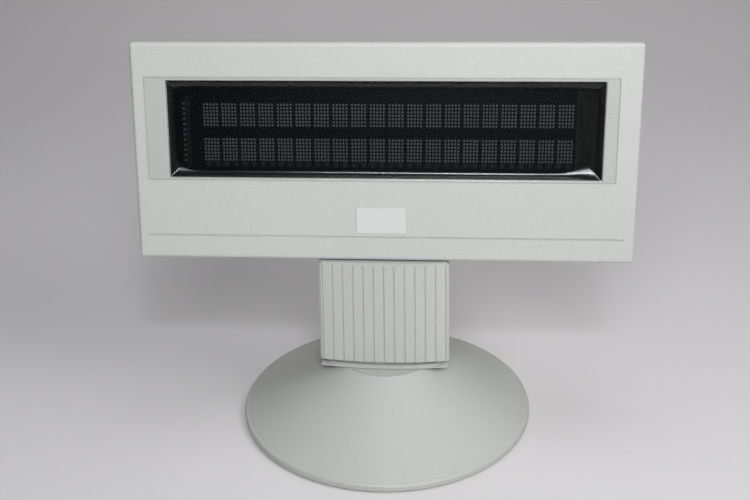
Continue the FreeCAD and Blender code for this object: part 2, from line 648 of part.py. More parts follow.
# ---------------------------------------------------------------- base
def make_base():
    ledge_top, ledge_bottom = dim.ledge_top, dim.ledge_bottom
    rim_top = dim.rim_gap + dim.rim_thickness
    lip = dim.rim_lip
    recess = dim.swivel_recess_radius
    boss = dim.spindle_bore_radius + dim.spindle_boss_wall
    eye = dim.spindle_bore_radius / 2
    full_profile = [
        (eye, dim.rim_gap),
        (dim.base_radius, dim.rim_gap),
        (dim.base_radius, rim_top, lip),
        (dim.base_radius - lip, rim_top + lip, -dim.base_slope_radius),
        (recess, dim.base_top_height),
        (eye, dim.base_top_height),
    ]
    inner_rim, weight_bottom = dim.inner_rim, dim.weight_bottom

    def under_skin(name, raised):
        """The space below the base's sloping wall, raised into that wall by some amount."""
        return revolved(name, [
            (eye, dim.rim_gap - 1),
            (inner_rim, dim.rim_gap - 1),
            (inner_rim, weight_bottom + raised, -dim.base_slope_radius),
            (dim.hollow_top_radius, ledge_bottom + raised),
            (eye, ledge_bottom + raised),
        ])

    hollow = under_skin("base_hollow", 0)
    boss_limit = under_skin("base_boss_limit", dim.boss_grip)
    screws = around(COVER_SCREWS, dim.cover_screw_circle, 90)
    weight_top = weight_bottom + dim.weight_thickness
    bosses = [
        rod(f"base_boss_{i}", dim.cover_boss_radius, "z", weight_top, dim.base_top_height, c)
        for i, c in enumerate(screws)
    ]
    half_stop = dim.stop_width / 2
    shell = fuse(
        "base_solid",
        cut("base_walls", revolved("base_outside", full_profile), hollow),
        common("base_bosses", fuse("base_boss_bars", *bosses), boss_limit),
        rod("spindle_boss", boss, "z", dim.spindle_boss_bottom, ledge_top),
        box("swivel_stop", (-half_stop, half_stop), (-dim.stop_outer, -dim.stop_inner),
            (dim.spindle_bottom, ledge_top)),
    )
    in_row("base_shell", cut(
        "base_shell",
        shell,
        rod("swivel_recess", recess, "z", ledge_top, dim.base_top_height + 1),
        rod("spindle_bore", dim.spindle_bore_radius, "z", dim.spindle_boss_bottom - 1, ledge_top + 1),
        *[rod(f"base_pilot_{i}", dim.screw_radius, "z", weight_top - 1,
              weight_top + dim.cover_screw_bite + dim.pilot_spare, c) for i, c in enumerate(screws)],
    ))
    in_row("base_weight", cut(
        "base_weight",
        rod("weight_disc", dim.weight_outer, "z", weight_bottom, weight_top),
        rod("weight_eye", dim.weight_inner, "z", weight_bottom - 1, weight_top + 1),
        *[rod(f"weight_hole_{i}", screw_hole, "z", weight_bottom - 1, weight_top + 1, c)
          for i, c in enumerate(screws)],
    ))
    seat = dim.cover_bottom + dim.small_head_thickness
    seat_radius = dim.small_head_radius + dim.slide_gap
    in_row("bottom_cover", cut(
        "bottom_cover",
        rod("cover_disc", inner_rim - dim.cover_gap, "z", dim.cover_bottom, weight_bottom),
        *[rod(f"cover_hole_{i}", screw_hole, "z", dim.cover_bottom - 1, weight_bottom + 1, c)
          for i, c in enumerate(screws)],
        *[rod(f"cover_seat_{i}", seat_radius, "z", dim.cover_bottom - 1, seat, c)
          for i, c in enumerate(screws)],
    ))
    in_row("cover_screws", group("cover_screws", [
        screw(f"cover_screw_{i}", "z", seat, weight_top + dim.cover_screw_bite, c, small_head,
              dim.screw_radius, -1)
        for i, c in enumerate(screws)
    ]))
    in_row("rubber_feet", group("rubber_feet", [
        rod(f"rubber_foot_{i}", dim.foot_radius, "z", as_size(0), dim.cover_bottom, c)
        for i, c in enumerate(around(RUBBER_FEET, dim.foot_circle, 45))
    ]))
    in_row("glide_ring", ring(
        "glide_ring", dim.glide_outer, dim.glide_inner, "z", ledge_top, ledge_top + dim.glide_thickness))


# ---------------------------------------------------------------- column
def foot_places():
    return [(side * dim.foot_screw_x, 0) for side in (-1, 1)]


def make_swivel():
    disc_bottom = dim.base_top_height - dim.swivel_recess_depth + dim.glide_thickness + dim.glide_gap
    spindle = dim.spindle_bore_radius - dim.running_gap
    washer_top = dim.spindle_boss_bottom - dim.glide_gap
    clip_top = washer_top - dim.washer_thickness
    groove = spindle - dim.clip_groove_depth
    clip = (clip_top - dim.clip_thickness, clip_top)
    seat = disc_bottom + dim.small_head_thickness
    places = foot_places()
    seat_radius = dim.small_head_radius + dim.slide_gap
    in_row("swivel_disc", cut(
        "swivel_disc",
        fuse(
            "swivel_solid",
            rod("swivel_plate", dim.swivel_recess_radius - dim.swivel_gap, "z", disc_bottom,
                dim.base_top_height),
            rod("spindle", spindle, "z", dim.spindle_bottom, disc_bottom),
            rod("disc_seat", dim.seat_radius, "z", dim.base_top_height, dim.base_top_height + dim.seat_rise),
        ),
        rod("spindle_hole", spindle - dim.spindle_wall, "z", dim.spindle_bottom - 1,
            dim.base_top_height + dim.seat_rise + 1),
        ring("clip_groove", spindle + 1, groove, "z", clip[0], clip[1]),
        *[rod(f"disc_sink_{i}", seat_radius, "z", disc_bottom - 1, seat, c) for i, c in enumerate(places)],
        *[rod(f"disc_hole_{i}", small_hole, "z", seat - 1, dim.base_top_height + dim.seat_rise + 1, c)
          for i, c in enumerate(places)],
    ))
    in_row("foot_screws", group("foot_screws", [
        screw(f"foot_screw_{i}", "z", seat, dim.base_top_height + dim.foot_screw_bite, c, small_head,
              dim.small_screw_radius, -1)
        for i, c in enumerate(places)
    ]))
    half_stop = dim.stop_width / 2
    in_row("retaining_washer", cut(
        "retaining_washer",
        fuse(
            "washer_solid",
            rod("washer_disc", dim.washer_outer, "z", clip_top, washer_top),
            box("stop_tab", (-half_stop, half_stop), (dim.spindle_bore_radius, dim.tab_outer),
                (clip_top, washer_top)),
        ),
        rod("washer_hole", spindle + dim.slide_gap, "z", clip_top - 1, washer_top + 1),
    ))
    in_row("retaining_clip", cut(
        "retaining_clip",
        ring("clip_ring", dim.clip_outer, groove, "z", clip[0], clip[1]),
        box("clip_mouth", (-half_stop, half_stop), (-dim.clip_outer - 1, 0 - groove / 2),
            (clip[0] - 1, clip[1] + 1)),
    ))


def ribbed_outline(width, height):
    """Closed outline of the ribbed column at one height: V grooves along all four sides."""
    half_width = width / 2
    half_depth = dim.column_side_depth.value / 2
    pitch = dim.rib_pitch.value * width / dim.column_bottom_width.value
    bow, bevel = dim.column_bow.value, dim.column_corner.value
    half_groove, depth = dim.groove_width.value / 2, dim.groove_depth.value

    def grooved(half_length, distance, swell):
        """One side from left to right: offsets along the side and distances out from the middle."""
        count = int((half_length - bevel - half_groove) / pitch)
        side = [(-half_length + bevel, distance)]
        for index in range(-count, count + 1):
            middle = index * pitch
            for step, inward in ((-half_groove, 0), (0, depth), (half_groove, 0)):
                along = middle + step
                side.append((along, distance + swell * (1 - (along / half_length) ** 2) - inward))
        side.append((half_length - bevel, distance))
        return side

    front = [(a, -out) for a, out in grooved(half_width, half_depth, bow)]
    right = [(out, a) for a, out in grooved(half_depth, half_width, 0)]
    back = [(-a, out) for a, out in grooved(half_width, half_depth, bow)]
    left = [(-out, -a) for a, out in grooved(half_depth, half_width, 0)]
    points = [FreeCAD.Vector(x, y, height) for x, y in front + right + back + left]
    return Part.makePolygon(points + points[:1])


def make_column():
    half_bottom, half_side = dim.column_bottom_width / 2, dim.column_side_depth / 2
    cavity_x, cavity_y = dim.column_cavity_width / 2, dim.column_cavity_depth / 2
    # the ribs narrow towards the top, so the ribbed skin is a ruled loft between two outlines
    skin = doc.addObject("Part::Feature", "ribbed_skin")
    skin.Shape = Part.makeLoft([
        ribbed_outline(dim.column_bottom_width.value, dim.column_bottom.value),
        ribbed_outline(dim.column_top_width.value, dim.column_top.value),
    ], True, True)
    in_row("ribbed_column", cut(
        "ribbed_column", skin,
        box("column_cavity", (-cavity_x, cavity_x), (-cavity_y, cavity_y),
            (dim.column_bottom - 1, dim.column_top + 1)),
    ))

    foot_bottom = dim.base_top_height + dim.seat_rise
    plate_top = foot_bottom + dim.foot_plate_thickness
    boss_top = plate_top + dim.foot_boss_height
    spigot_x, spigot_y = cavity_x - dim.slide_gap, cavity_y - dim.slide_gap
    spigot_top = dim.column_bottom + dim.foot_spigot_height
    inset = dim.foot_plate_inset
    boss = dim.foot_boss_inset
    core = dim.foot_core_inset
    places = foot_places()
    in_row("column_foot", cut(
        "column_foot",
        fuse(
            "foot_solid",
            bowed_plate("foot_plate", half_bottom - inset, half_side - inset, None,
                        (foot_bottom, plate_top)),
            bowed_plate("foot_boss", half_bottom - boss, half_side - boss, dim.foot_boss_corner,
                        (plate_top, boss_top)),
            bowed_plate("foot_core", half_bottom - core, half_side - core, dim.cap_corner,
                        (boss_top, dim.column_bottom)),
            box("foot_spigot", (-spigot_x, spigot_x), (-spigot_y, spigot_y), (dim.column_bottom, spigot_top)),
            rod("foot_collar", dim.collar_radius, "z", spigot_top, spigot_top + dim.collar_height / 2),
        ),
        rod("foot_tube_bore", dim.tube_radius, "z", dim.tube_seat, spigot_top + dim.collar_height),
        rod("foot_cable_bore", dim.tube_radius - dim.tube_wall, "z", dim.base_top_height - 1,
            dim.tube_seat + 1),
        *[rod(f"foot_pilot_{i}", dim.small_screw_radius, "z", dim.base_top_height - 1,
              dim.base_top_height + dim.foot_screw_bite + dim.pilot_spare, c)
          for i, c in enumerate(places)],
    ))

    cap_bottom = dim.column_top - dim.cap_spigot_height
    flange_bottom = cap_bottom - dim.flange_thickness
    collar_bottom = flange_bottom - dim.collar_height
    in_row("column_tube", ring(
        "column_tube", dim.tube_radius, dim.tube_radius - dim.tube_wall, "z", dim.tube_seat, flange_bottom))

    cap_top = dim.column_top + dim.cap_thickness
    cap_half_width = dim.column_top_width / 2 - dim.cap_inset
    neck = dim.pedestal_depth / 2
    barrel = dim.barrel_width / 2
    cap_screw_y = neck + dim.small_head_radius + dim.slide_gap * 2
    cap_places = [(x, y * cap_screw_y) for x in (-dim.cap_screw_x, dim.cap_screw_x) for y in (-1, 1)]
    cap_seat = cap_top - dim.small_head_thickness
    seat_radius = dim.small_head_radius + dim.slide_gap
    gap = dim.slide_gap
    in_row("column_top_cap", cut(
        "column_top_cap",
        fuse(
            "cap_solid",
            bowed_plate("cap_plate", cap_half_width, half_side - dim.cap_inset, dim.cap_corner,
                        (dim.column_top, cap_top)),
            box("cap_spigot", (-spigot_x, spigot_x), (-spigot_y, spigot_y), (cap_bottom, dim.column_top)),
        ),
        box("cap_eye", (-barrel - gap, barrel + gap), (-neck - gap, neck + gap),
            (cap_bottom - 1, cap_top + 1)),
        *[rod(f"cap_hole_{i}", small_hole, "z", cap_bottom - 1, cap_top + 1, c)
          for i, c in enumerate(cap_places)],
        *[rod(f"cap_seat_{i}", seat_radius, "z", cap_seat, cap_top + 1, c)
          for i, c in enumerate(cap_places)],
    ))
    in_row("cap_screws", group("cap_screws", [
        screw(f"cap_screw_{i}", "z", cap_seat, flange_bottom + dim.screw_tip_gap, c, small_head,
              dim.small_screw_radius, 1)
        for i, c in enumerate(cap_places)
    ]))
    in_row("tilt_knuckle", cut(
        "tilt_knuckle",
        fuse(
            "knuckle_solid",
            rod("barrel", dim.barrel_radius, "x", -barrel, barrel, (pivot_y, pivot_z)),
            box("neck_block", (-spigot_x, spigot_x), (-neck, neck), (cap_bottom, pivot_z)),
            box("flange", (-spigot_x, spigot_x), (-spigot_y, spigot_y), (flange_bottom, cap_bottom)),
            rod("knuckle_collar", dim.collar_radius, "z", collar_bottom, flange_bottom),
        ),
        rod("pin_bore", dim.pin_radius + dim.running_gap, "x", -barrel - 1, barrel + 1, (pivot_y, pivot_z)),
        rod("knuckle_tube_bore", dim.tube_radius, "z", collar_bottom - 1, flange_bottom),
        rod("setscrew_bore", dim.setscrew_radius, "y", dim.tube_radius - 1, dim.collar_radius + 1,
            (0, collar_bottom + dim.collar_height / 2)),
        *[rod(f"flange_pilot_{i}", dim.small_screw_radius, "z", flange_bottom - 1, cap_bottom + 1, c)
          for i, c in enumerate(cap_places)],
    ))
    in_row("collar_setscrew", cut(
        "collar_setscrew",
        rod("setscrew_body", dim.setscrew_radius, "y", dim.tube_radius, dim.collar_radius - dim.slide_gap,
            (0, collar_bottom + dim.collar_height / 2)),
        rod("tube_clear", dim.tube_radius, "z", collar_bottom, flange_bottom),
    ))


# ---------------------------------------------------------------- tilt hinge
def make_hinge():
    axis = (dim.pivot_depth, dim.pivot_rise)
    inner = dim.bracket_inner / 2
    outer = inner + dim.bracket_thickness
    web_bottom = dim.pocket_rise - dim.bracket_thickness
    radius = dim.bracket_ear_radius
    front = dim.pivot_depth - radius
    ears = []
    for side, x in (("left", (-outer, -inner)), ("right", (inner, outer))):
        ears.append(rod(f"ear_end_{side}", radius, "x", x[0], x[1], axis))
        ears.append(box(f"ear_{side}", x, (front, dim.pivot_depth + radius),
                        (dim.pivot_rise, dim.pocket_rise)))
    inset = dim.web_screw_inset
    web_screws = [(x, y) for x in (-dim.web_screw_x, dim.web_screw_x)
                  for y in (dim.head_split + inset, dim.bracket_back - inset)]
    in_head("tilt_bracket", cut(
        "tilt_bracket",
        fuse("bracket_solid", *ears,
             box("bracket_web", (-outer, outer), (front, dim.bracket_back), (web_bottom, dim.pocket_rise))),
        rod("bracket_pin_hole", dim.pin_radius, "x", -outer - 1, outer + 1, axis),
        *[rod(f"web_hole_{i}", screw_hole, "z", web_bottom - 1, dim.pocket_rise + 1, c)
          for i, c in enumerate(web_screws)],
    ))
    in_head("bracket_screws", group("bracket_screws", [
        screw(f"bracket_screw_{i}", "z", web_bottom, dim.pocket_rise + dim.web_screw_bite, c, small_head,
              dim.screw_radius, -1)
        for i, c in enumerate(web_screws)
    ]))
    in_head("hinge_pin", fuse(
        "hinge_pin",
        rod("pin_shaft", dim.pin_radius, "x", -outer,
            outer + dim.spring_washer_thickness + dim.pin_thread, axis),
        rod("pin_head", dim.pin_head_radius, "x", -outer - dim.pin_head_thickness, -outer, axis),
    ))
    in_head("spring_washer", ring(
        "spring_washer", dim.pin_head_radius, dim.pin_radius, "x", outer, outer + dim.spring_washer_thickness,
        axis))
    nut = doc.addObject("Part::Prism", "nut_prism")
    nut.Polygon = 6
    bind(nut, Circumradius=dim.nut_corner_radius, Height=dim.nut_thickness)
    nut_start = outer + dim.spring_washer_thickness
    put(nut, nut_start, axis[0], axis[1], (0, 1, 0), 90)
    in_head("hinge_nut", cut(
        "hinge_nut", nut,
        rod("nut_thread", dim.pin_radius, "x", nut_start - 1, nut_start + dim.nut_thickness + 1, axis)))
    washer = dim.friction_washer_thickness
    in_head("friction_washers", group("friction_washers", [
        ring("washer_left", dim.friction_washer_radius, dim.pin_radius, "x", -inner, -inner + washer, axis),
        ring("washer_right", dim.friction_washer_radius, dim.pin_radius, "x", inner - washer, inner, axis),
    ]))
    return web_screws


# ---------------------------------------------------------------- head housing
def corner_places():
    return [(side * dim.corner_screw_x, rise) for side in (-1, 1)
            for rise in (dim.corner_screw_low, dim.corner_screw_high)]


def module_places():
    return [(side * dim.module_screw_x, rise) for side in (-1, 1)
            for rise in (dim.module_screw_low, dim.module_screw_high)]


def drafted_block(name, start, length, sharp_at):
    """A stretch of the head's outer shape from depth start, rounded except on the plane sharp_at."""
    inset = start * tangent(dim.head_draft)
    half = dim.head_width / 2 - inset
    body = new_body(name)
    top = dim.head_height - inset
    corners = [(-half, inset), (half, inset), (half, top), (-half, top)]
    sketch = outline(body, name + "_outline", "XZ", corners, 0 - start)
    block = pad(body, name + "_pad", sketch, length, reverse=True, draft=0 - dim.head_draft)
    away = lambda edge: any(abs(vertex.Y - sharp_at.value) > 1e-3 for vertex in edge.Vertexes)
    round_edges(body, name + "_round", block, dim.edge_round, away)
    return body


def make_bezel():
    wall, split = dim.head_wall, dim.head_split
    half, top = dim.head_width / 2 - wall, dim.head_height - wall
    window = dim.window_width / 2
    bevel = dim.window_bevel
    line = dim.line_length / 2
    pocket = dim.pocket_width / 2 + dim.pocket_wall + dim.slide_gap
    back = dim.head_split + 1
    shell = cut(
        "bezel_shell", drafted_block("bezel_block", as_size(0), split, split),
        box("bezel_cavity", (-half, half), (dim.front_wall, back), (wall, top)),
    )
    gasket_back = dim.front_wall + dim.lens_thickness + dim.gasket_thickness
    bosses = [rod(f"bezel_boss_{i}", dim.corner_boss_radius, "y", dim.front_wall - dim.boss_sink, split, c)
              for i, c in enumerate(corner_places())]
    posts = [rod(f"module_post_{i}", dim.module_boss_radius, "y", dim.front_wall - dim.boss_sink,
                 gasket_back, c)
             for i, c in enumerate(module_places())]
    pilot_end = split - dim.corner_screw_bite - dim.pilot_spare
    pilots = [rod(f"bezel_pilot_{i}", dim.screw_radius, "y", pilot_end, back, c)
              for i, c in enumerate(corner_places())]
    pilots += [rod(f"module_pilot_{i}", dim.screw_radius, "y", dim.front_wall, gasket_back + 1, c)
               for i, c in enumerate(module_places())]
    in_head("front_bezel", cut(
        "front_bezel",
        fuse("bezel_solid", shell, *bosses, *posts),
        box("window_cut", (-window, window), (as_size(-1), dim.front_wall + 1),
            (dim.window_bottom, dim.window_top)),
        wedge("window_bevel_cut", (as_size(0), bevel),
              (-window - bevel, window + bevel, dim.window_bottom - bevel, dim.window_top + bevel),
              (-window, window, dim.window_bottom, dim.window_top)),
        box("front_line", (-line, line), (as_size(-1), dim.line_depth),
            (dim.line_rise, dim.line_rise + dim.line_width)),
        box("bezel_notch", (-pocket, pocket), (dim.front_wall, back),
            (as_size(-1), dim.pocket_rise + dim.pocket_wall + dim.slide_gap)),
        *pilots,
    ))
    in_head("badge_plate", box(
        "badge", (dim.badge_left, dim.badge_left + dim.badge_width), (0 - dim.badge_thickness, as_size(0)),
        (dim.badge_bottom, dim.badge_bottom + dim.badge_height)))


def make_rear_cover(web_screws):
    wall, split, depth = dim.head_wall, dim.head_split, dim.head_depth
    draft = tangent(dim.head_draft)
    near, far = split * draft, (depth - dim.back_wall) * draft
    half, top = dim.head_width / 2 - wall, dim.head_height - wall
    inside_back = depth - dim.back_wall
    cavity = wedge(
        "rear_cavity", (split - 0.01, inside_back),
        (-half + near, half - near, wall + near, top - near),
        (-half + far, half - far, wall + far, top - far))
    pocket = dim.pocket_width / 2
    outer = pocket + dim.pocket_wall
    ceiling = dim.pocket_rise + dim.pocket_wall
    pocket_front = dim.front_wall + dim.slide_gap
    skin = drafted_block("rear_block", split, depth - split, split)
    pocket_block = box("pocket_block", (-outer, outer), (pocket_front, inside_back + 1),
                       (depth * draft, ceiling))
    corner_bosses = [rod(f"rear_boss_{i}", dim.corner_boss_radius, "y", split, inside_back + 1, c)
                     for i, c in enumerate(corner_places())]
    web_bosses = [rod(f"web_boss_{i}", dim.corner_boss_radius, "z", ceiling - dim.boss_sink,
                      dim.pocket_rise + dim.web_boss_height, c)
                  for i, c in enumerate(web_screws)]
    board_bosses = [rod(f"board_boss_{i}", dim.interface_boss_radius, "z", wall - dim.boss_sink,
                        dim.interface_rise, c)
                    for i, c in enumerate(interface_places())]
    seat = dim.screw_seat_depth
    holes = [rod(f"rear_hole_{i}", screw_hole, "y", split - 1, seat + 1, c)
             for i, c in enumerate(corner_places())]
    holes += [rod(f"rear_seat_{i}", dim.screw_head_radius + dim.slide_gap, "y", seat, depth + 1, c)
              for i, c in enumerate(corner_places())]
    holes += [rod(f"web_pilot_{i}", dim.screw_radius, "z", dim.pocket_rise - 1,
                  dim.pocket_rise + dim.web_screw_bite + dim.pilot_spare, c)
              for i, c in enumerate(web_screws)]
    board_pilot = dim.interface_rise - dim.interface_screw_bite - dim.pilot_spare
    holes += [rod(f"board_pilot_{i}", dim.small_screw_radius, "z", board_pilot, dim.interface_rise + 1, c)
              for i, c in enumerate(interface_places())]
    vents = []
    for side in (-1, 1):
        for index in range(VENTS_PER_SIDE):
            middle = side * (outer + dim.vent_pitch * index)
            vents.append(box(
                f"vent_{'left' if side < 0 else 'right'}_{index}",
                (middle - dim.vent_width / 2, middle + dim.vent_width / 2),
                (inside_back - 1, depth + 1), (dim.vent_bottom, dim.vent_top)))
    board_top = dim.interface_rise + dim.board_thickness
    gap = dim.slide_gap
    socket_hole = box(
        "socket_hole", (dim.socket_left - gap, dim.socket_left + dim.socket_width + gap),
        (inside_back - 1, depth + 1), (board_top - gap, board_top + dim.socket_height + gap))
    in_head("rear_cover", cut(
        "rear_cover",
        fuse("rear_solid", cut("rear_shell", skin, cavity), pocket_block, *corner_bosses, *web_bosses,
             *board_bosses),
        box("pocket_space", (-pocket, pocket), (pocket_front - 1, depth + 1), (as_size(-1), dim.pocket_rise)),
        socket_hole, *holes, *vents,
    ))
    in_head("housing_screws", group("housing_screws", [
        screw(f"housing_screw_{i}", "y", seat, split - dim.corner_screw_bite, c, housing_head,
              dim.screw_radius, 1)
        for i, c in enumerate(corner_places())
    ]))


# ---------------------------------------------------------------- display module
def make_display():
    window = dim.window_width / 2
    lens_back = dim.front_wall + dim.lens_thickness
    gasket_back = lens_back + dim.gasket_thickness
    margin = dim.lens_margin
    in_head("window_film", box(
        "film", (dim.film_left, dim.film_right), (0 - dim.film_thickness, as_size(0)),
        (dim.film_bottom, dim.film_top)))
    in_head("window_lens", box(
        "lens", (-window - margin, window + margin), (dim.front_wall, lens_back),
        (dim.window_bottom - margin, dim.window_top + margin)))
    strip = dim.gasket_width - margin
    in_head("light_gasket", cut(
        "light_gasket",
        box("gasket_plate", (-window - margin, window + margin), (lens_back, gasket_back),
            (dim.window_bottom - margin, dim.window_top + margin)),
        box("gasket_hole", (-window + strip, window - strip), (lens_back - 1, gasket_back + 1),
            (dim.window_bottom + strip, dim.window_top - strip)),
    ))
    tube = dim.tube_glass_width / 2
    cover_back = gasket_back + dim.cover_glass_depth
    glass = dim.cover_glass_wall
    low, high = dim.tube_glass_bottom, dim.tube_glass_top
    in_head("vfd_front_glass", cut(
        "vfd_front_glass",
        box("glass_block", (-tube, tube), (gasket_back, cover_back), (low, high)),
        box("glass_space", (-tube + glass, tube - glass), (gasket_back + glass, cover_back + 1),
            (low + glass, high - glass)),
    ))
    plate_back = cover_back + dim.anode_glass_thickness
    in_head("vfd_back_glass", box("back_glass", (-tube, tube), (cover_back, plate_back), (low, high)))
    anodes = []
    for row in range(ROW_COUNT):
        bottom = dim.grid_centre_rise + dim.row_pitch * (row - ROW_COUNT / 2 + 0.5) - dim.character_height / 2
        for index in range(CHARACTERS_PER_ROW):
            middle = dim.grid_centre_x + dim.character_pitch * (index - CHARACTERS_PER_ROW / 2 + 0.5)
            left = middle - dim.character_width / 2
            anodes.append(box(
                f"anode_{row}_{index}", (left, left + dim.character_width),
                (cover_back - dim.anode_thickness, cover_back), (bottom, bottom + dim.character_height)))
    in_head("character_anodes", group("character_anodes", anodes))
    wire_y = cover_back - dim.filament_depth
    anchor_inner = dim.anchor_x - dim.anchor_width
    in_head("filament_wires", group("filament_wires", [
        rod(f"filament_{i}", dim.filament_radius, "x", -anchor_inner, anchor_inner,
            (wire_y, dim.grid_centre_rise + dim.filament_pitch * (i - FILAMENTS / 2 + 0.5)))
        for i in range(FILAMENTS)
    ]))
    middle = dim.grid_centre_rise
    in_head("filament_anchors", group("filament_anchors", [
        box(f"anchor_{side}", x, (cover_back - dim.anchor_depth, cover_back),
            (middle - dim.anchor_height / 2, middle + dim.anchor_height / 2))
        for side, x in (("left", (-dim.anchor_x, -anchor_inner)), ("right", (anchor_inner, dim.anchor_x)))
    ]))
    frame_back = gasket_back + dim.frame_depth
    side = dim.tube_pin_side / 2
    pins = []
    for index in range(TUBE_PINS):
        x = dim.tube_pin_pitch * (index - TUBE_PINS / 2 + 0.5)
        pins.append(box(f"tube_pin_{index}", (x - side, x + side), (plate_back, frame_back),
                        (dim.tube_pin_height - side, dim.tube_pin_height + side)))
    in_head("vfd_pins", group("vfd_pins", pins))
    half = dim.frame_half_width
    gap = dim.slide_gap
    in_head("carrier_frame", cut(
        "carrier_frame",
        box("frame_block", (-half, half), (gasket_back, frame_back), (dim.frame_bottom, dim.frame_top)),
        box("frame_space", (-tube - gap, tube + gap), (gasket_back - 1, frame_back + 1),
            (low - gap, high + gap)),
        *[rod(f"frame_hole_{i}", screw_hole, "y", gasket_back - 1, frame_back + 1, c)
          for i, c in enumerate(module_places())],
    ))
    board_back = frame_back + dim.board_thickness
    in_head("display_board", cut(
        "display_board",
        box("board_plate", (-half, half), (frame_back, board_back), (dim.frame_bottom, dim.frame_top)),
        *[rod(f"board_hole_{i}", screw_hole, "y", frame_back - 1, board_back + 1, c)
          for i, c in enumerate(module_places())],
    ))
    in_head("module_screws", group("module_screws", [
        screw(f"module_screw_{i}", "y", board_back, dim.front_wall + dim.screw_tip_gap, c, housing_head,
              dim.screw_radius, 1)
        for i, c in enumerate(module_places())
    ]))
    return board_back


def make_electronics(board_back):
    in_head("driver_chips", group("driver_chips", [
        box(f"driver_chip_{i}", (x, x + dim.chip_width), (board_back, board_back + dim.chip_thickness),
            (dim.chip_rise, dim.chip_rise + dim.chip_height))
        for i, x in enumerate(
            dim.chip_pitch * (n - DRIVER_CHIPS / 2) + dim.chip_offset for n in range(DRIVER_CHIPS))
    ]))
    in_head("capacitors", group("capacitors", [
        rod(f"capacitor_{i}", dim.capacitor_radius, "y", board_back, board_back + dim.capacitor_length,
            (dim.capacitor_x + dim.capacitor_pitch * i, dim.capacitor_rise))
        for i in range(CAPACITORS)
    ]))
    in_head("power_inductor", ring(
        "power_inductor", dim.inductor_radius, dim.inductor_hole, "y", board_back,
        board_back + dim.inductor_height, (dim.inductor_x, dim.inductor_rise)))
    left, right = dim.interface_left, dim.interface_right
    low = dim.interface_rise
    high = low + dim.board_thickness
    back = dim.head_depth - dim.back_wall - dim.slide_gap
    in_head("interface_board", cut(
        "interface_board",
        box("interface_plate", (left, right), (dim.interface_front, back), (low, high)),
        *[rod(f"interface_hole_{i}", small_hole, "z", low - 1, high + 1, c)
          for i, c in enumerate(interface_places())],
    ))
    in_head("interface_screws", group("interface_screws", [
        screw(f"interface_screw_{i}", "z", high, low - dim.interface_screw_bite, c, small_head,
              dim.small_screw_radius, 1)
        for i, c in enumerate(interface_places())
    ]))
    socket_back = dim.head_depth - dim.slide_gap
    mouth_left = dim.socket_left + (dim.socket_width - dim.socket_mouth_width) / 2
    mouth_low = high + (dim.socket_height - dim.socket_mouth_height) / 2
    in_head("data_socket", cut(
        "data_socket",
        box("socket_block", (dim.socket_left, dim.socket_left + dim.socket_width),
            (socket_back - dim.socket_length, socket_back), (high, high + dim.socket_height)),
        box("socket_mouth", (mouth_left, mouth_left + dim.socket_mouth_width),
            (socket_back - dim.socket_mouth_depth, socket_back + 1),
            (mouth_low, mouth_low + dim.socket_mouth_height)),
    ))
    margin, tall = dim.connector_margin, dim.connector_height
    x = (dim.ribbon_left - margin, dim.ribbon_left + dim.ribbon_width + margin)
    upper = dim.connector_rise
    y = (board_back, board_back + dim.connector_depth)
    in_head("ribbon_connectors", group("ribbon_connectors", [
        box("connector_upper", x, y, (upper, upper + tall)),
        box("connector_lower", x, (dim.interface_front, y[1]), (high, high + tall)),
    ]))
    ribbon_y = board_back + dim.ribbon_depth
    in_head("ribbon_cable", box(
        "ribbon", (dim.ribbon_left, dim.ribbon_left + dim.ribbon_width),
        (ribbon_y, ribbon_y + dim.ribbon_thickness), (high + tall, upper)))


def interface_places():
    inset = dim.interface_screw_inset
    back = dim.head_depth - dim.back_wall - dim.slide_gap
    return [(dim.interface_left + inset, back - inset), (dim.interface_right - inset, back - inset)]


def write_parts():
    doc.recompute()
    failed = [o.Label for o in doc.Objects if "Invalid" in o.State or "Error" in o.State]
    if failed:
        raise SystemExit(f"these objects failed: {failed}")
    for name, piece in nodes.items():
        if piece.Label != name:
            raise SystemExit(f"{name} is labelled {piece.Label}")
        if piece.Shape.isNull() or not piece.Shape.isValid() or not piece.Shape.Solids:
            raise SystemExit(f"{name} has no valid solid")
    os.makedirs("parts", exist_ok=True)
    for name, piece in nodes.items():
        piece.Shape.exportStep(f"parts/{name}.step")
    print(f"{len(nodes)} nodes, tilt axis at y {pivot_y.value:.4f}, z {pivot_z.value:.4f}")


make_base()
make_swivel()
make_column()
bracket_screw_places = make_hinge()
make_bezel()
make_rear_cover(bracket_screw_places)
display_board_back = make_display()
make_electronics(display_board_back)
write_parts()
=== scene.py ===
# %% [markdown]
# # A customer pole display in Blender
# This object stands beside a till and shows the price to the customer: a wide
# moulded head with a glass display tube in it, on a ribbed neck that turns and
# tilts on a round weighted foot. The CAD model gives every hard part its exact
# shape, so this lesson loads it as a frame, gives each part the finish of its
# real material, and adds the fine pieces that a CAD model leaves out.

# %% Load the frame
import json
import math

import bpy
import numpy as np
from mathutils import Matrix, Vector

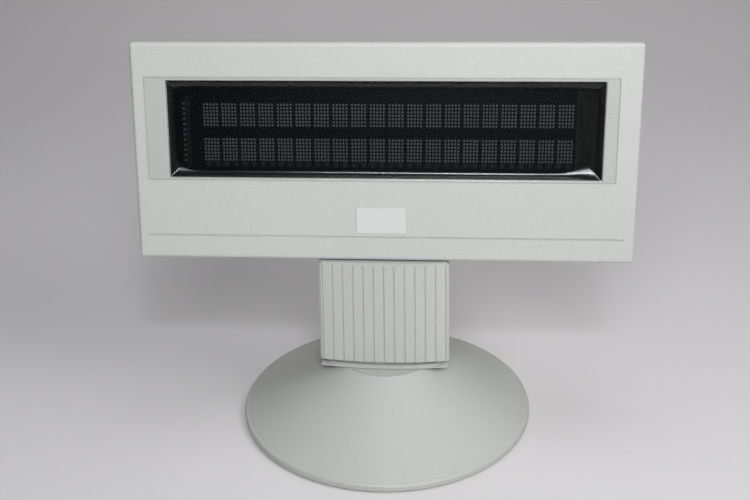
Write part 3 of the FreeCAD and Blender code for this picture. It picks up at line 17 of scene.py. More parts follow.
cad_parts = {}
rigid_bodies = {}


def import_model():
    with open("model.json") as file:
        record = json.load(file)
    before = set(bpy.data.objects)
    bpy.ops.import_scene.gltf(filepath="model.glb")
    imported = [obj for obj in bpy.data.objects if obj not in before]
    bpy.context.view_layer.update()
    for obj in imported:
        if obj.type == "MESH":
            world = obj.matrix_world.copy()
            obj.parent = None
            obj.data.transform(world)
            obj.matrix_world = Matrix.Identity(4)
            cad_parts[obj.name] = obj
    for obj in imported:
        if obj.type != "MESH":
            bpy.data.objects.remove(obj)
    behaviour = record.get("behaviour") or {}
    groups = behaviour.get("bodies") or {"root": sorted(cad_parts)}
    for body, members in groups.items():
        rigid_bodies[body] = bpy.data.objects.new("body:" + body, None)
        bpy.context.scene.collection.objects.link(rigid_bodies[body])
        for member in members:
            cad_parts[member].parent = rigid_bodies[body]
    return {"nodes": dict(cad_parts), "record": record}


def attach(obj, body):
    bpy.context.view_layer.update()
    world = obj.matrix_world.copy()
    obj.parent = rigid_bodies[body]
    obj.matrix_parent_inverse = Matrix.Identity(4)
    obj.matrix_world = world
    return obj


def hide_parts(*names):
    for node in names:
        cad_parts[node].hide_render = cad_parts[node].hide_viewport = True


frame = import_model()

# %% [markdown]
# A new Blender file has a cube, a lamp and a camera in it. They go first, so
# that the box measured next is the CAD model's alone. All lengths here are
# in metres, so one constant turns the millimetres of a drawing into them.

# %% Clear the start-up objects and measure the frame
MM = 0.001
nodes = frame["nodes"]
for leftover in [o for o in bpy.data.objects if o.name in ("Cube", "Light", "Camera")]:
    bpy.data.objects.remove(leftover, do_unlink=True)
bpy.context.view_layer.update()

# %% [markdown]
# The head leans back, so its pieces are easier to place along its own three
# directions: across, depth into the housing, and rise up the face. The data
# socket's mount points straight out of the back of the head, and so it tells
# how far the head leans. The front bezel's lowest edge and foremost face are
# the zero of rise and of depth.

# %% The head's own directions
socket = next(m for m in frame["record"]["mounts"] if m["name"] == "data_socket")
lean = math.atan2(-socket["axis"][2], socket["axis"][1])
across = np.array([1.0, 0.0, 0.0])
inward = np.array([0.0, math.cos(lean), -math.sin(lean)])
upward = np.array([0.0, math.sin(lean), math.cos(lean)])


def corners(node):
    """Lowest and highest across, inward and upward distance of a CAD node's points."""
    mesh = nodes[node].data
    points = np.empty(len(mesh.vertices) * 3)
    mesh.vertices.foreach_get("co", points)
    along = points.reshape(-1, 3) @ np.array([across, inward, upward]).T
    return along.min(0) - zero, along.max(0) - zero


zero = np.zeros(3)
zero = corners("front_bezel")[0] * np.array([0.0, 1.0, 1.0])


def to_row(x, depth, rise):
    """Point = x times across, plus depth times inward, plus rise times upward."""
    x, depth, rise = np.broadcast_arrays(x, depth, rise)
    return (
        x[..., None] * across
        + (depth + zero[1])[..., None] * inward
        + (rise + zero[2])[..., None] * upward
    )


print("head leans back", round(math.degrees(lean), 2), "degrees")

# %% [markdown]
# ## Meshes from grids
# Each new piece is a surface worked out as a grid of points. A grid becomes
# four-sided faces by joining each point to its neighbours, and many small
# blocks become one mesh by repeating one block's faces with a step.

# %% From points to a piece


def make_piece(name, points, faces, body, slot, smooth=True):
    """Put points and faces into a mesh, and let the piece ride on a body."""
    mesh = bpy.data.meshes.new(name)
    mesh.from_pydata(points.reshape(-1, 3), [], [list(face) for face in faces])
    mesh.update()
    mesh.shade_smooth() if smooth else mesh.shade_flat()
    piece = bpy.data.objects.new(name, mesh)
    bpy.context.collection.objects.link(piece)
    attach(piece, body)
    print(f"{name}: {len(mesh.polygons)} faces")
    return piece


def grid_faces(rows, columns, closed=False):
    """Each face joins point (i, j) to (i, j+1), (i+1, j+1) and (i+1, j)."""
    index = np.arange(rows * columns).reshape(rows, columns)
    if closed:
        index = np.concatenate([index, index[:, :1]], axis=1)
    corner = index[:-1, :-1], index[:-1, 1:], index[1:, 1:], index[1:, :-1]
    return np.stack(corner, axis=-1).reshape(-1, 4)


# The six faces of a block, for corners counted in binary as x, depth, rise.
BLOCK = np.array(
    [[0, 4, 5, 1], [2, 3, 7, 6], [0, 1, 3, 2], [4, 6, 7, 5], [0, 2, 6, 4], [1, 5, 7, 3]]
)


def blocks(centres, size):
    """Corner = centre plus or minus half the size, and faces step on by eight."""
    bits = np.array([[i >> 2 & 1, i >> 1 & 1, i & 1] for i in range(8)]) - 0.5
    points = centres[:, None, :] + bits[None] * np.asarray(size)
    faces = BLOCK[None] + 8 * np.arange(len(centres))[:, None, None]
    placed = to_row(points[..., 0], points[..., 1], points[..., 2])
    return placed, faces.reshape(-1, 4)


def spread(*axes):
    """Every combination of the values on each axis, one point a row."""
    return np.stack(np.meshgrid(*axes, indexing="ij"), axis=-1).reshape(-1, len(axes))


# %% [markdown]
# ## Finishes
# A material is built from nodes. One small function adds a node, sets its
# options, and fills or links its sockets. Another turns a colour written as
# sRGB hex into the linear numbers that the renderer works with.

# %% Two helpers for materials


def linear(code, alpha=1.0):
    """Linear = value/12.92 below 0.04045, else ((value + 0.055)/1.055) to the 2.4."""
    srgb = np.array([int(code[i : i + 2], 16) for i in (0, 2, 4)]) / 255.0
    value = np.where(srgb <= 0.04045, srgb / 12.92, ((srgb + 0.055) / 1.055) ** 2.4)
    return (*value.tolist(), alpha)


def add_node(tree, kind, sockets=None, **options):
    """Add one node: options are its settings, sockets take a value or a link."""
    node = tree.nodes.new("ShaderNode" + kind)
    for name, value in options.items():
        setattr(node, name, value)
    for place, value in (sockets or {}).items():
        if isinstance(value, bpy.types.NodeSocket):
            tree.links.new(value, node.inputs[place])
        else:
            node.inputs[place].default_value = value
    return node


def new_tree(name):
    """A material with an empty node tree, and its output node."""
    material = bpy.data.materials.new(name)
    material.use_nodes = True
    material.node_tree.nodes.clear()
    return material, material.node_tree, add_node(material.node_tree, "OutputMaterial")


# %% [markdown]
# Most of the finishes are one recipe with different numbers. A slow noise
# drifts the colour between two close shades, as moulded or rolled stock does.
# A fine noise is the grain: it lightens and darkens the colour a little, sets
# the roughness, and lifts the surface through a bump. Stretching the grain
# along one direction makes it a brushed or drawn finish. Sizes are the real
# ones in millimetres, and a noise's scale is one over its size in metres.

# %% The recipe
USUAL = {1: 0.3, 2: 0.7}      # between these lie most of a noise's values
GLOSS_DRIFT = 0.06            # how far the grain moves the roughness either way


def finish(name, pale, deep, cloud, grain, relief, rough, fleck=0.0, stretch=(1.0, 1.0, 1.0),
           **shader):
    """Cloud and grain are sizes in mm, relief a height in mm; colour = shade times 1 +- fleck."""
    material, tree, output = new_tree(name)
    place = add_node(tree, "TexCoord").outputs["Object"]
    laid = add_node(tree, "Mapping", {"Vector": place, "Scale": stretch})
    drift = add_node(tree, "TexNoise", {"Vector": place, "Scale": 1 / (cloud * MM), "Detail": 3.0})
    grit = add_node(tree, "TexNoise", {
        "Vector": laid.outputs["Vector"], "Scale": 1 / (grain * MM), "Detail": 2.0})
    shade = add_node(tree, "Mix", {
        0: drift.outputs["Fac"], 6: linear(deep), 7: linear(pale)}, data_type="RGBA")
    glint = add_node(tree, "MapRange", {
        "Value": grit.outputs["Fac"], **USUAL, 3: 1.0 - fleck, 4: 1.0 + fleck})
    colour = add_node(tree, "VectorMath", {
        0: shade.outputs[2], "Scale": glint.outputs["Result"]}, operation="SCALE")
    gloss = add_node(tree, "MapRange", {
        "Value": grit.outputs["Fac"], **USUAL, 3: rough + GLOSS_DRIFT, 4: rough - GLOSS_DRIFT})
    bump = add_node(tree, "Bump", {
        "Height": grit.outputs["Fac"], "Distance": relief * MM, "Strength": 1.0})
    sockets = {"Base Color": colour.outputs["Vector"], "Roughness": gloss.outputs["Result"],
               "Normal": bump.outputs["Normal"]}
    sockets.update({key.replace("_", " "): value for key, value in shader.items()})
    body = add_node(tree, "BsdfPrincipled", sockets)
    tree.links.new(body.outputs["BSDF"], output.inputs["Surface"])
    return material


# %% [markdown]
# ### The housing plastics
# The head, neck and foot are injection-moulded ABS in a warm light grey. The
# mould was spark-eroded, which leaves a fine even grain of about half a
# millimetre: it takes the shine off and gives a soft sparkle where the light
# is strong. The three mouldings come from different tools and batches, so
# their greys differ slightly. The rear cover has a coarser texture, as parts
# that face away from the customer do.

# %% Spark-eroded ABS
abs_shades = {
    "bezel_plastic": finish("abs_spark_eroded_bezel", "C9CAC6", "C2C3BF", 60, 0.8, 0.035, 0.50,
                            fleck=0.05),
    "cover_plastic": finish("abs_coarse_eroded_cover", "C5C6C1", "BDBEB9", 60, 1.1, 0.06, 0.58,
                            fleck=0.04),
    "column_plastic": finish("abs_spark_eroded_neck", "C8C9C3", "C0C1BA", 50, 0.8, 0.03, 0.50,
                             fleck=0.03),
    "base_plastic": finish("abs_spark_eroded_foot", "BEBFBB", "B7B8B3", 70, 0.8, 0.03, 0.46,
                           fleck=0.03),
    "disc_plastic": finish("abs_smooth_turntable", "BDBEB9", "B5B6B1", 40, 0.7, 0.015, 0.42,
                           fleck=0.02),
}
print("housing finishes:", len(abs_shades))

# %% [markdown]
# ### Other mouldings, rubber and foam
# Inside are glass-filled nylon, black polystyrene, acetal and neoprene. Each
# is darker or paler than the housing, and none of them is glossy.

# %% Inner plastics and rubber
inner_plastics = {
    "frame_plastic": finish("polystyrene_black_frame", "26272A", "1D1E20", 30, 0.9, 0.03, 0.5,
                            fleck=0.08),
    "connector_nylon": finish("nylon_natural_connector", "E6E0CC", "D9D2BC", 12, 0.5, 0.01, 0.42,
                              fleck=0.02),
    "socket_plastic": finish("nylon_black_socket", "1C1D1F", "141517", 10, 0.5, 0.012, 0.38,
                             fleck=0.08),
    "chip_epoxy": finish("epoxy_moulded_chip", "232426", "1A1B1C", 8, 0.35, 0.015, 0.55,
                         fleck=0.1),
    "capacitor_sleeve": finish("pvc_shrink_sleeve", "23304E", "1B2640", 15, 1.2, 0.01, 0.3,
                               fleck=0.04),
    "inductor_core": finish("ferrite_sintered", "3B3B3E", "2E2E31", 6, 0.4, 0.03, 0.6,
                            fleck=0.12),
    "washer_nylon": finish("nylon_natural_washer", "E2DECF", "D5D0BF", 10, 0.5, 0.01, 0.4,
                           fleck=0.02),
    "glide_pom": finish("acetal_turned_glide", "EDEDE8", "E2E2DC", 20, 0.5, 0.006, 0.35,
                        fleck=0.01),
    "foot_rubber": finish("rubber_moulded_foot", "34353A", "292A2E", 8, 0.6, 0.04, 0.75,
                          fleck=0.1),
    "gasket_foam": finish("neoprene_cell_foam", "2B2B2D", "1E1E20", 10, 0.45, 0.12, 0.9,
                          fleck=0.2),
    "cover_black": finish("polystyrene_black_tray", "2E2F32", "242527", 40, 1.0, 0.05, 0.55,
                          fleck=0.08),
    "ribbon_film": finish("pvc_ribbon_cable", "B9BABD", "A9AAAE", 10, 1.27, 0.05, 0.4,
                          fleck=0.03, stretch=(1.0, 0.02, 0.02)),
}
print("inner finishes:", len(inner_plastics))

# %% [markdown]
# ### Metals
# Screws and hinge parts are steel with a thin zinc coat, pressed or turned.
# The stretched grain is the mark of the tool: along a drawn pin or across a
# rolled sheet. The knuckle is die-cast zinc, duller and mottled. The ballast
# is raw plate. The tube's fine wires are dull nickel iron, and the pins in the
# connectors are bright with tin.

# %% Zinc, steel and tin
metals = {
    "screw_steel": finish("steel_zinc_screws", "C9CCD1", "AEB2B8", 6, 0.3, 0.01, 0.32,
                          fleck=0.05, Metallic=1.0),
    "hinge_steel": finish("steel_zinc_rolled", "BFC3C9", "A6AAB0", 20, 0.5, 0.01, 0.36,
                          fleck=0.04, stretch=(0.08, 1.0, 1.0), Metallic=1.0),
    "knuckle_zinc": finish("zinc_die_cast", "A9ACB0", "8F9296", 12, 1.0, 0.05, 0.5,
                           fleck=0.06, Metallic=1.0),
    "weight_steel": finish("steel_raw_plate", "77787B", "5F6063", 25, 1.2, 0.04, 0.5,
                           fleck=0.08, stretch=(0.15, 1.0, 1.0), Metallic=1.0),
    "wire_metal": finish("nickel_iron_wire", "5C5E61", "48494C", 8, 0.3, 0.004, 0.6,
                         fleck=0.03, Metallic=1.0),
    "pin_metal": finish("tinned_contact_pin", "D2CFC4", "BDBAAE", 6, 0.3, 0.004, 0.3,
                        fleck=0.03, Metallic=1.0),
}
print("metal finishes:", len(metals))

# %% [markdown]
# ### Clear parts
# The window is an acrylic plate, and a thin protective film still lies over
# it. A clear sheet lets light straight through and mirrors a little of what is
# in front of it, more at a glancing angle. That is a mix of a see-through
# shader and a mirror, and the mirror's share follows Schlick's rule, which is
# the same from both sides of a thin sheet. The tint is what one passage leaves:
# smoked acrylic takes most of the light, the film almost nothing. No sheet is
# quite flat, so each has a faint wave, with its height and size in millimetres.

# %% Acrylic, film and glass


def clear(name, tint, rough, facing, wave, wave_size):
    """Mirror share = facing + (1 - facing) times (1 - cosine of the slant) to the fifth."""
    material, tree, output = new_tree(name)
    place = add_node(tree, "TexCoord").outputs["Object"]
    ripple = add_node(tree, "TexNoise", {
        "Vector": place, "Scale": 1 / (wave_size * MM), "Detail": 1.0})
    bump = add_node(tree, "Bump", {
        "Height": ripple.outputs["Fac"], "Distance": wave * MM, "Strength": 1.0})
    slant = add_node(tree, "LayerWeight", {"Blend": 0.5})
    power = add_node(tree, "Math", {0: slant.outputs["Facing"], 1: 5.0}, operation="POWER")
    share = add_node(tree, "MapRange", {"Value": power.outputs["Value"], 3: facing, 4: 1.0})
    gloss = add_node(tree, "BsdfPrincipled", {
        "Base Color": linear("FFFFFF"), "Metallic": 1.0, "Roughness": rough,
        "Normal": bump.outputs["Normal"]})
    passing = add_node(tree, "BsdfTransparent", {"Color": linear(tint)})
    both = add_node(tree, "MixShader", {
        0: share.outputs["Result"], 1: passing.outputs["BSDF"], 2: gloss.outputs["BSDF"]})
    tree.links.new(both.outputs["Shader"], output.inputs["Surface"])
    return material


clear_parts = {
    "lens_acrylic": clear("acrylic_smoked_window", "B4B6BB", rough=0.08, facing=0.04,
                          wave=0.004, wave_size=30),
    "film_clear": clear("polyester_clear_film", "FBFBFB", rough=0.2, facing=0.04,
                        wave=0.012, wave_size=9),
    "tube_glass": clear("soda_lime_tube_glass", "F1F5F3", rough=0.05, facing=0.04,
                        wave=0.003, wave_size=25),
}
print("clear finishes:", len(clear_parts))

# %% [markdown]
# ### The display tube and the boards
# Unlit phosphor is a matt powder of a greenish grey. It is printed on a back
# glass that carries a black graphite layer. A circuit board is green solder
# mask over copper tracks: the wave of a noise stands for the tracks, which
# show through the mask as lighter lines. The badge is a blank printed foil.

# %% Phosphor, graphite, board and badge
tube_parts = {
    "anode_phosphor": finish("phosphor_unlit_powder", "D6D7CC", "BDBEB2", 14, 0.3, 0.01, 0.85,
                             fleck=0.06),
    "back_glass": finish("graphite_on_back_glass", "0E0F11", "08090A", 20, 0.6, 0.002, 0.4,
                         fleck=0.1),
    "badge_blank": finish("foil_blank_badge", "D9DAD8", "D2D3D1", 12, 0.4, 0.004, 0.3,
                          fleck=0.015),
}
TRACK_PITCH, MASK_RELIEF = 5.236 * MM, 0.035 * MM
COPPER_FROM, COPPER_FULL = 0.62, 0.7                 # height of the wave


def solder_mask(name, mask, track):
    """Board: where a bent wave is high there is copper; its scale is pi / 10 over its pitch."""
    material, tree, output = new_tree(name)
    place = add_node(tree, "TexCoord").outputs["Object"]
    lines = add_node(tree, "TexWave", {
        "Vector": place, "Scale": math.pi / 10 / TRACK_PITCH, "Distortion": 6.0, "Detail": 1.0,
        "Detail Scale": 2.0})
    copper = add_node(tree, "MapRange", {
        "Value": lines.outputs["Fac"], 1: COPPER_FROM, 2: COPPER_FULL})
    shade = add_node(tree, "Mix", {
        0: copper.outputs["Result"], 6: linear(mask), 7: linear(track)}, data_type="RGBA")
    bump = add_node(tree, "Bump", {
        "Height": copper.outputs["Result"], "Distance": MASK_RELIEF, "Strength": 1.0})
    body = add_node(tree, "BsdfPrincipled", {
        "Base Color": shade.outputs[2], "Roughness": 0.35, "Normal": bump.outputs["Normal"]})
    tree.links.new(body.outputs["BSDF"], output.inputs["Surface"])
    return material


tube_parts["circuit_board"] = solder_mask("solder_mask_green", "1E4A33", "2F6B49")
print("tube and board finishes:", len(tube_parts))

# %% [markdown]
# The record gives each CAD node a material slot. Every slot in it gets its
# finish here, hidden inner parts too, because a part may be looked at alone.

# %% Give every node its finish
finishes = {**abs_shades, **inner_plastics, **metals, **clear_parts, **tube_parts}
for node in nodes.values():
    for place in node.material_slots:
        place.material = finishes[place.material.name.split(".")[0]]
print("finished nodes:", len(nodes))

# %% [markdown]
# ## Window plate and tube face
# Each clear sheet that a ray crosses costs the renderer one of a few steps, so
# light would never reach the dots through two thick blocks of glass. The
# window plate and the face of the tube are therefore single skins: a front
# face with a small round edge and side walls, open at the back where they
# rest on the part behind. The outline is a rectangle with round corners, and
# a profile of insets and depths is carried round it. The two CAD blocks stay
# for their shape and weight, and these stand for them.

# %% Skins with a round edge
SKIN_SLOTS = {"window_lens": "lens_acrylic", "vfd_front_glass": "tube_glass"}
OUTLINE_STEPS, BOW_STEPS = 48, 5


def skin(node, name, corner, edge):
    """Ring k = the outline, inset and set at depth k of the profile; the last ring is filled."""
    low, high = corners(node)
    middle, half = (low + high) / 2, (high - low) / 2
    turn = np.linspace(0, 2 * np.pi, OUTLINE_STEPS + 1)[:-1] + np.pi / OUTLINE_STEPS
    bow = np.linspace(0, np.pi / 2, BOW_STEPS)
    inset = np.concatenate([[0.0], edge * (1 - np.cos(bow))])
    depth = np.concatenate([[high[1]], low[1] + edge * (1 - np.sin(bow))])
    inner = corner - inset[:, None]
    x = middle[0] + np.sign(np.cos(turn)) * (half[0] - corner) + inner * np.cos(turn)
    rise = middle[2] + np.sign(np.sin(turn)) * (half[2] - corner) + inner * np.sin(turn)
    faces = grid_faces(*x.shape, closed=True)[:, ::-1].tolist()
    faces.append(list(range(x.size - x.shape[1], x.size)))
    points = to_row(x, depth[:, None], rise)
    piece = make_piece(name, points, faces, "head", SKIN_SLOTS[node], False)
    piece.data.materials.append(finishes[SKIN_SLOTS[node]])
    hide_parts(node)


skin("window_lens", "window_plate", corner=2.0 * MM, edge=0.2 * MM)
skin("vfd_front_glass", "tube_face", corner=1.6 * MM, edge=0.5 * MM)

# %% [markdown]
# ## The character dots
# A vacuum-fluorescent tube draws each character with five columns and seven
# rows of small phosphor pads. Two lines of twenty characters make 1400 dots,
# far too many to model by hand, and all alike. So their centres come from
# four sets of steps, column, row, character and line, and one block is
# repeated at each. The CAD node with the forty plain cells gives the places
# of the first and the last, and these dots stand for it.

# %% Dots in two lines of twenty characters
CHARACTERS, DOT_COLUMNS, DOT_ROWS = 20, 5, 7
DOT_PITCH = np.array([1.32, 1.41]) * MM
DOT_SIZE = (0.68 * MM, 0.08 * MM, 0.76 * MM)
cell_low, cell_high = corners("character_anodes")
cell_width = (DOT_COLUMNS - 1) * DOT_PITCH[0] + DOT_SIZE[0]
cell_height = (DOT_ROWS - 1) * DOT_PITCH[1] + DOT_SIZE[2]
firsts_x = np.linspace(cell_low[0], cell_high[0] - cell_width, CHARACTERS)
firsts_rise = np.array([cell_low[2], cell_high[2] - cell_height])
dot_x = firsts_x[:, None] + DOT_SIZE[0] / 2 + DOT_PITCH[0] * np.arange(DOT_COLUMNS)
dot_rise = firsts_rise[:, None] + DOT_SIZE[2] / 2 + DOT_PITCH[1] * np.arange(DOT_ROWS)
dot_depth = [cell_high[1] - DOT_SIZE[1] / 2]
dot_centres = spread(dot_x.ravel(), dot_depth, dot_rise.ravel())
dots = make_piece("phosphor_dots", *blocks(dot_centres, DOT_SIZE), "head", "anode_phosphor", False)
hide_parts("character_anodes")
dots.data.materials.append(finishes["anode_phosphor"])

# %% [markdown]
# Behind each character is the cell that its dots are printed in, a shade
# lighter than the black round it. Under the lower line runs a row of round
# pads where the electrodes are joined, and at the left end a ladder of small
# marks. All are thin plates. The cells are graphite, and the pads and marks
# are silver frit, dull on the pads and brighter on the marks.

# %% Cells, pads and marks
cell_grey = finish("graphite_cell_print", "272829", "1F2021", 9, 0.35, 0.002, 0.6, fleck=0.15)
pad_grey = finish("silver_frit_pads", "5C5F61", "484A4C", 5, 0.4, 0.004, 0.5, fleck=0.2)
CELL_MARGIN, CELL_THICK = 0.35 * MM, 0.02 * MM
cell_x = firsts_x + cell_width / 2
cell_rise = firsts_rise + cell_height / 2
cell_centres = spread(cell_x, [cell_high[1] - CELL_THICK / 2], cell_rise)
cell_size = (cell_width + 2 * CELL_MARGIN, CELL_THICK, cell_height + 2 * CELL_MARGIN)
cells = make_piece("character_cells", *blocks(cell_centres, cell_size), "head", "back_glass", False)
cells.data.materials.append(cell_grey)


def discs(centres, radius, thick, sides=16):
    """Round plates: rim points turn round each centre, front and back, with a flat cap."""
    turn = np.linspace(0, 2 * np.pi, sides, endpoint=False)
    rim = np.stack([radius * np.cos(turn), 0 * turn, radius * np.sin(turn)], axis=-1)
    both = np.stack([rim + [0, -thick / 2, 0], rim + [0, thick / 2, 0]])
    points = centres[:, None, None, :] + both[None]
    wall = np.stack([np.arange(sides), np.roll(np.arange(sides), -1)], axis=-1)
    wall = np.concatenate([wall, wall[:, ::-1] + sides], axis=1)
    faces = [(f + 2 * sides * i).tolist() for i in range(len(centres)) for f in wall]
    for i in range(len(centres)):
        start = 2 * sides * i
        faces.append(list(range(start + sides - 1, start - 1, -1)))
        faces.append(list(range(start + sides, start + 2 * sides)))
    return to_row(points[..., 0], points[..., 1], points[..., 2]), faces


PAD_RADIUS, PAD_THICK, PAD_DROP = 1.05 * MM, 0.03 * MM, 1.5 * MM    # drop: below the cells
pad_x = np.linspace(cell_x[0] - cell_width / 4, cell_x[-1] + cell_width / 4, 2 * CHARACTERS)
pad_centres = spread(pad_x, [cell_high[1] - PAD_THICK / 2], [cell_low[2] - PAD_DROP])
pads = make_piece("electrode_pads", *discs(pad_centres, PAD_RADIUS, PAD_THICK), "head",
                  "back_glass", False)
pads.data.materials.append(pad_grey)
MARK_SIZE, MARK_STEPS, MARK_GAP = (1.1 * MM, PAD_THICK, 0.9 * MM), 12, 8.2 * MM
mark_rise = np.linspace(cell_low[2], cell_high[2], MARK_STEPS)
mark_centres = spread([cell_low[0] - MARK_GAP], [cell_high[1] - PAD_THICK / 2], mark_rise)
marks = make_piece("alignment_marks", *blocks(mark_centres, MARK_SIZE), "head", "back_glass", False)
marks.data.materials.append(finish("silver_frit_marks", "A2A5A8", "8C8F92", 5, 0.4, 0.004, 0.5,
                                   fleck=0.2))

# %% [markdown]
# At the right end of the tube the glass has a brownish cloud on its inside.
# It is the getter: barium that was flashed off when the tube was sealed, and
# that soaked up the last gas. It is a thin uneven stain, so it is one sheet
# whose see-through share follows a noise.

# %% Getter stain
AFTER_CELLS, TUBE_END, BELOW_CELLS, ABOVE_CELLS = 1.2 * MM, 0.4 * MM, 3.0 * MM, 6.0 * MM
STAIN_GRID, STAIN_LIFT, STAIN_CLOUD = 12, 0.3 * MM, 7 * MM
THIN, THICK = 0.25, 0.9                              # least and most share of the stain
stain_x, stain_rise = np.meshgrid(
    np.linspace(cell_high[0] + AFTER_CELLS, corners("vfd_front_glass")[1][0] - TUBE_END,
                STAIN_GRID),
    np.linspace(cell_low[2] - BELOW_CELLS, cell_high[2] + ABOVE_CELLS, STAIN_GRID))
stain = make_piece("getter_stain", to_row(stain_x, cell_high[1] - STAIN_LIFT, stain_rise),
                   grid_faces(STAIN_GRID, STAIN_GRID), "head", "wire_metal")
material, tree, output = new_tree("barium_getter_stain")
place = add_node(tree, "TexCoord").outputs["Object"]
cloud = add_node(tree, "TexNoise", {"Vector": place, "Scale": 1 / STAIN_CLOUD, "Detail": 3.0})
share = add_node(tree, "MapRange", {
    "Value": cloud.outputs["Fac"], 1: 0.35, 2: 0.7, 3: THIN, 4: THICK})
bare = add_node(tree, "BsdfTransparent")
brown = add_node(tree, "BsdfPrincipled", {"Base Color": linear("6E655A"), "Roughness": 0.55})
both = add_node(tree, "MixShader", {
    0: share.outputs["Result"], 1: bare.outputs["BSDF"], 2: brown.outputs["BSDF"]})
tree.links.new(both.outputs["Shader"], output.inputs["Surface"])
stain.data.materials.append(material)

# %% [markdown]
# ## The protective film
# The film lies on the bezel and sags into the window until it touches the
# plate behind it. Its depth is worked out at each grid point from two
# distances: how far the point is inside the window's edge, and how far it is
# outside the patch where the film touches the plate. That patch is a
# rectangle with four different round corners. The share between the two
# distances rises from nought at the edge to one at the patch, and a power
# turns it into depth: steep at the edge, and flat where the film lands. The
# film hangs slack at the bottom and is pressed tight at the top, so the power
# grows with height.

# %% A sheet that dips into the window
film_low, film_high = corners("window_film")
lens_front = corners("window_lens")[0][1]
window = np.array([[-87.8, 33.9], [87.8, 73.55]]) * MM  # left and low, right and high
BANDS = np.array([[4.5, 3.4], [3.6, 6.2]]) * MM      # left and bottom, right and top
CORNERS = np.array([[8.0, 5.0], [16.0, 7.0]]) * MM   # left low and high, right low and high
LIFT, LANDING = 0.12 * MM, 0.08 * MM                 # above the bezel, above the plate
SLACK, TIGHT = 2.4, 7.0                              # powers at the bottom and at the top
NOUGHT = 1e-9                                        # keeps nought out of a division
STATIONS, NEARBY = 4000, 8 * MM                      # tries along an axis, reach of an edge
ALONG, CLIMB = (0.35 * MM, 2.0 * MM), (0.25 * MM, 1.0 * MM)     # fine and coarse steps


def graded(start, stop, marks, fine, coarse):
    """Steps from start to stop that are fine near the marks, and coarse elsewhere."""
    stations = np.linspace(start, stop, STATIONS + 1)
    near = np.min(np.abs(stations[:, None] - np.asarray(marks)), axis=1) < NEARBY
    share = np.cumsum(np.where(near, 1 / fine, 1 / coarse))
    count = int(np.ceil((share[-1] - share[0]) * (stop - start) / STATIONS))
    return np.interp(np.linspace(share[0], share[-1], count), share, stations)


def patch_distance(x, rise):
    """Distance to a round-cornered rectangle = length of what lies beyond it, less the radius."""
    low, high = window[0] + BANDS[0], window[1] - BANDS[1]
    middle, half = (low + high) / 2, (high - low) / 2
    right, above = (x > middle[0]).astype(int), (rise > middle[1]).astype(int)
    radius = CORNERS[right, above]
    over_x = np.abs(x - middle[0]) - half[0] + radius
    over_rise = np.abs(rise - middle[1]) - half[1] + radius
    outside = np.hypot(np.maximum(over_x, 0), np.maximum(over_rise, 0))
    return outside + np.minimum(np.maximum(over_x, over_rise), 0) - radius


def film_depth(x, rise):
    """Depth = lift on the bezel, and below it full dip times one less (1 - share) to a power."""
    inside = np.minimum.reduce([x - window[0][0], window[1][0] - x,
                                rise - window[0][1], window[1][1] - rise])
    inside = np.maximum(inside, 0)
    outside = np.maximum(patch_distance(x, rise), 0)
    share = inside / np.maximum(inside + outside, NOUGHT)
    height = np.clip((rise - window[0][1]) / (window[1][1] - window[0][1]), 0, 1)
    steep = SLACK + (TIGHT - SLACK) * height
    dip = lens_front - LANDING + LIFT
    return -LIFT + dip * (1 - (1 - share) ** steep)


film_x = graded(film_low[0], film_high[0], window[:, 0], *ALONG)
film_rise = graded(film_low[2], film_high[2], window[:, 1], *CLIMB)
sheet_x, sheet_rise = np.meshgrid(film_x, film_rise)
sheet_points = to_row(sheet_x, film_depth(sheet_x, sheet_rise), sheet_rise)
film = make_piece("protective_film", sheet_points, grid_faces(*sheet_x.shape), "head",
                  "film_clear")
film.data.materials.append(finishes["film_clear"])
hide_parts("window_film")

# %% [markdown]
# A cut edge of clear film looks darker than its middle, because it carries light sideways. A thin
# opaque grey strip round the border stands for it, so its grey is painted shade.

# %% Cut edge of the film, painted shade
EDGE_WIDTH, EDGE_THICK = 0.24 * MM, 0.1 * MM
middle = (film_low + film_high) / 2
span = film_high - film_low
edge_depth = -LIFT - EDGE_THICK / 2
sides = [
    blocks(np.array([[middle[0], edge_depth, film_low[2]], [middle[0], edge_depth, film_high[2]]]),
           (span[0], EDGE_THICK, EDGE_WIDTH)),
    blocks(np.array([[film_low[0], edge_depth, middle[2]], [film_high[0], edge_depth, middle[2]]]),
           (EDGE_WIDTH, EDGE_THICK, span[2])),
]
edge_points = np.concatenate([points for points, faces in sides])
edge_faces = np.concatenate([sides[0][1], sides[1][1] + len(sides[0][0].reshape(-1, 3))])
edge = make_piece("film_cut_edge", edge_points, edge_faces, "head", "film_clear", False)
# The strip's grey is painted shade for the darker cut edge, not a colour of the film.
edge.data.materials.append(
    finish("polyester_edge_painted_shade", "B3B5B1", "A6A8A4", 30, 1.0, 0.005, 0.3, fleck=0.05))

# %% [markdown]
# ## Contacts of the data socket
# The socket in the back takes a ten-way modular plug. Ten springy wires lie
# side by side in its mouth and slope up into it.

# %% Ten contact springs
CONTACTS, CONTACT_PITCH, CONTACT_WIDTH = 10, 1.02 * MM, 0.45 * MM
socket_low, socket_high = corners("data_socket")
socket_middle = (socket_low + socket_high) / 2
contact_x = socket_middle[0] + CONTACT_PITCH * (np.arange(CONTACTS) - (CONTACTS - 1) / 2)
CONTACT_LOW, CONTACT_RISE = 5.6 * MM, 2.4 * MM       # height in the socket, climb
CONTACT_START, CONTACT_LENGTH = 1.5 * MM, 9.0 * MM   # behind the mouth's rim, run
WIRE_STEPS, WIRE_SIDES = 9, 8
reach = np.linspace(0, 1, WIRE_STEPS)
wire_depth = socket_high[1] - CONTACT_START - CONTACT_LENGTH * reach
wire_rise = socket_low[2] + CONTACT_LOW + CONTACT_RISE * np.sin(np.pi * reach / 2)
ring = np.linspace(0, 2 * np.pi, WIRE_SIDES, endpoint=False)


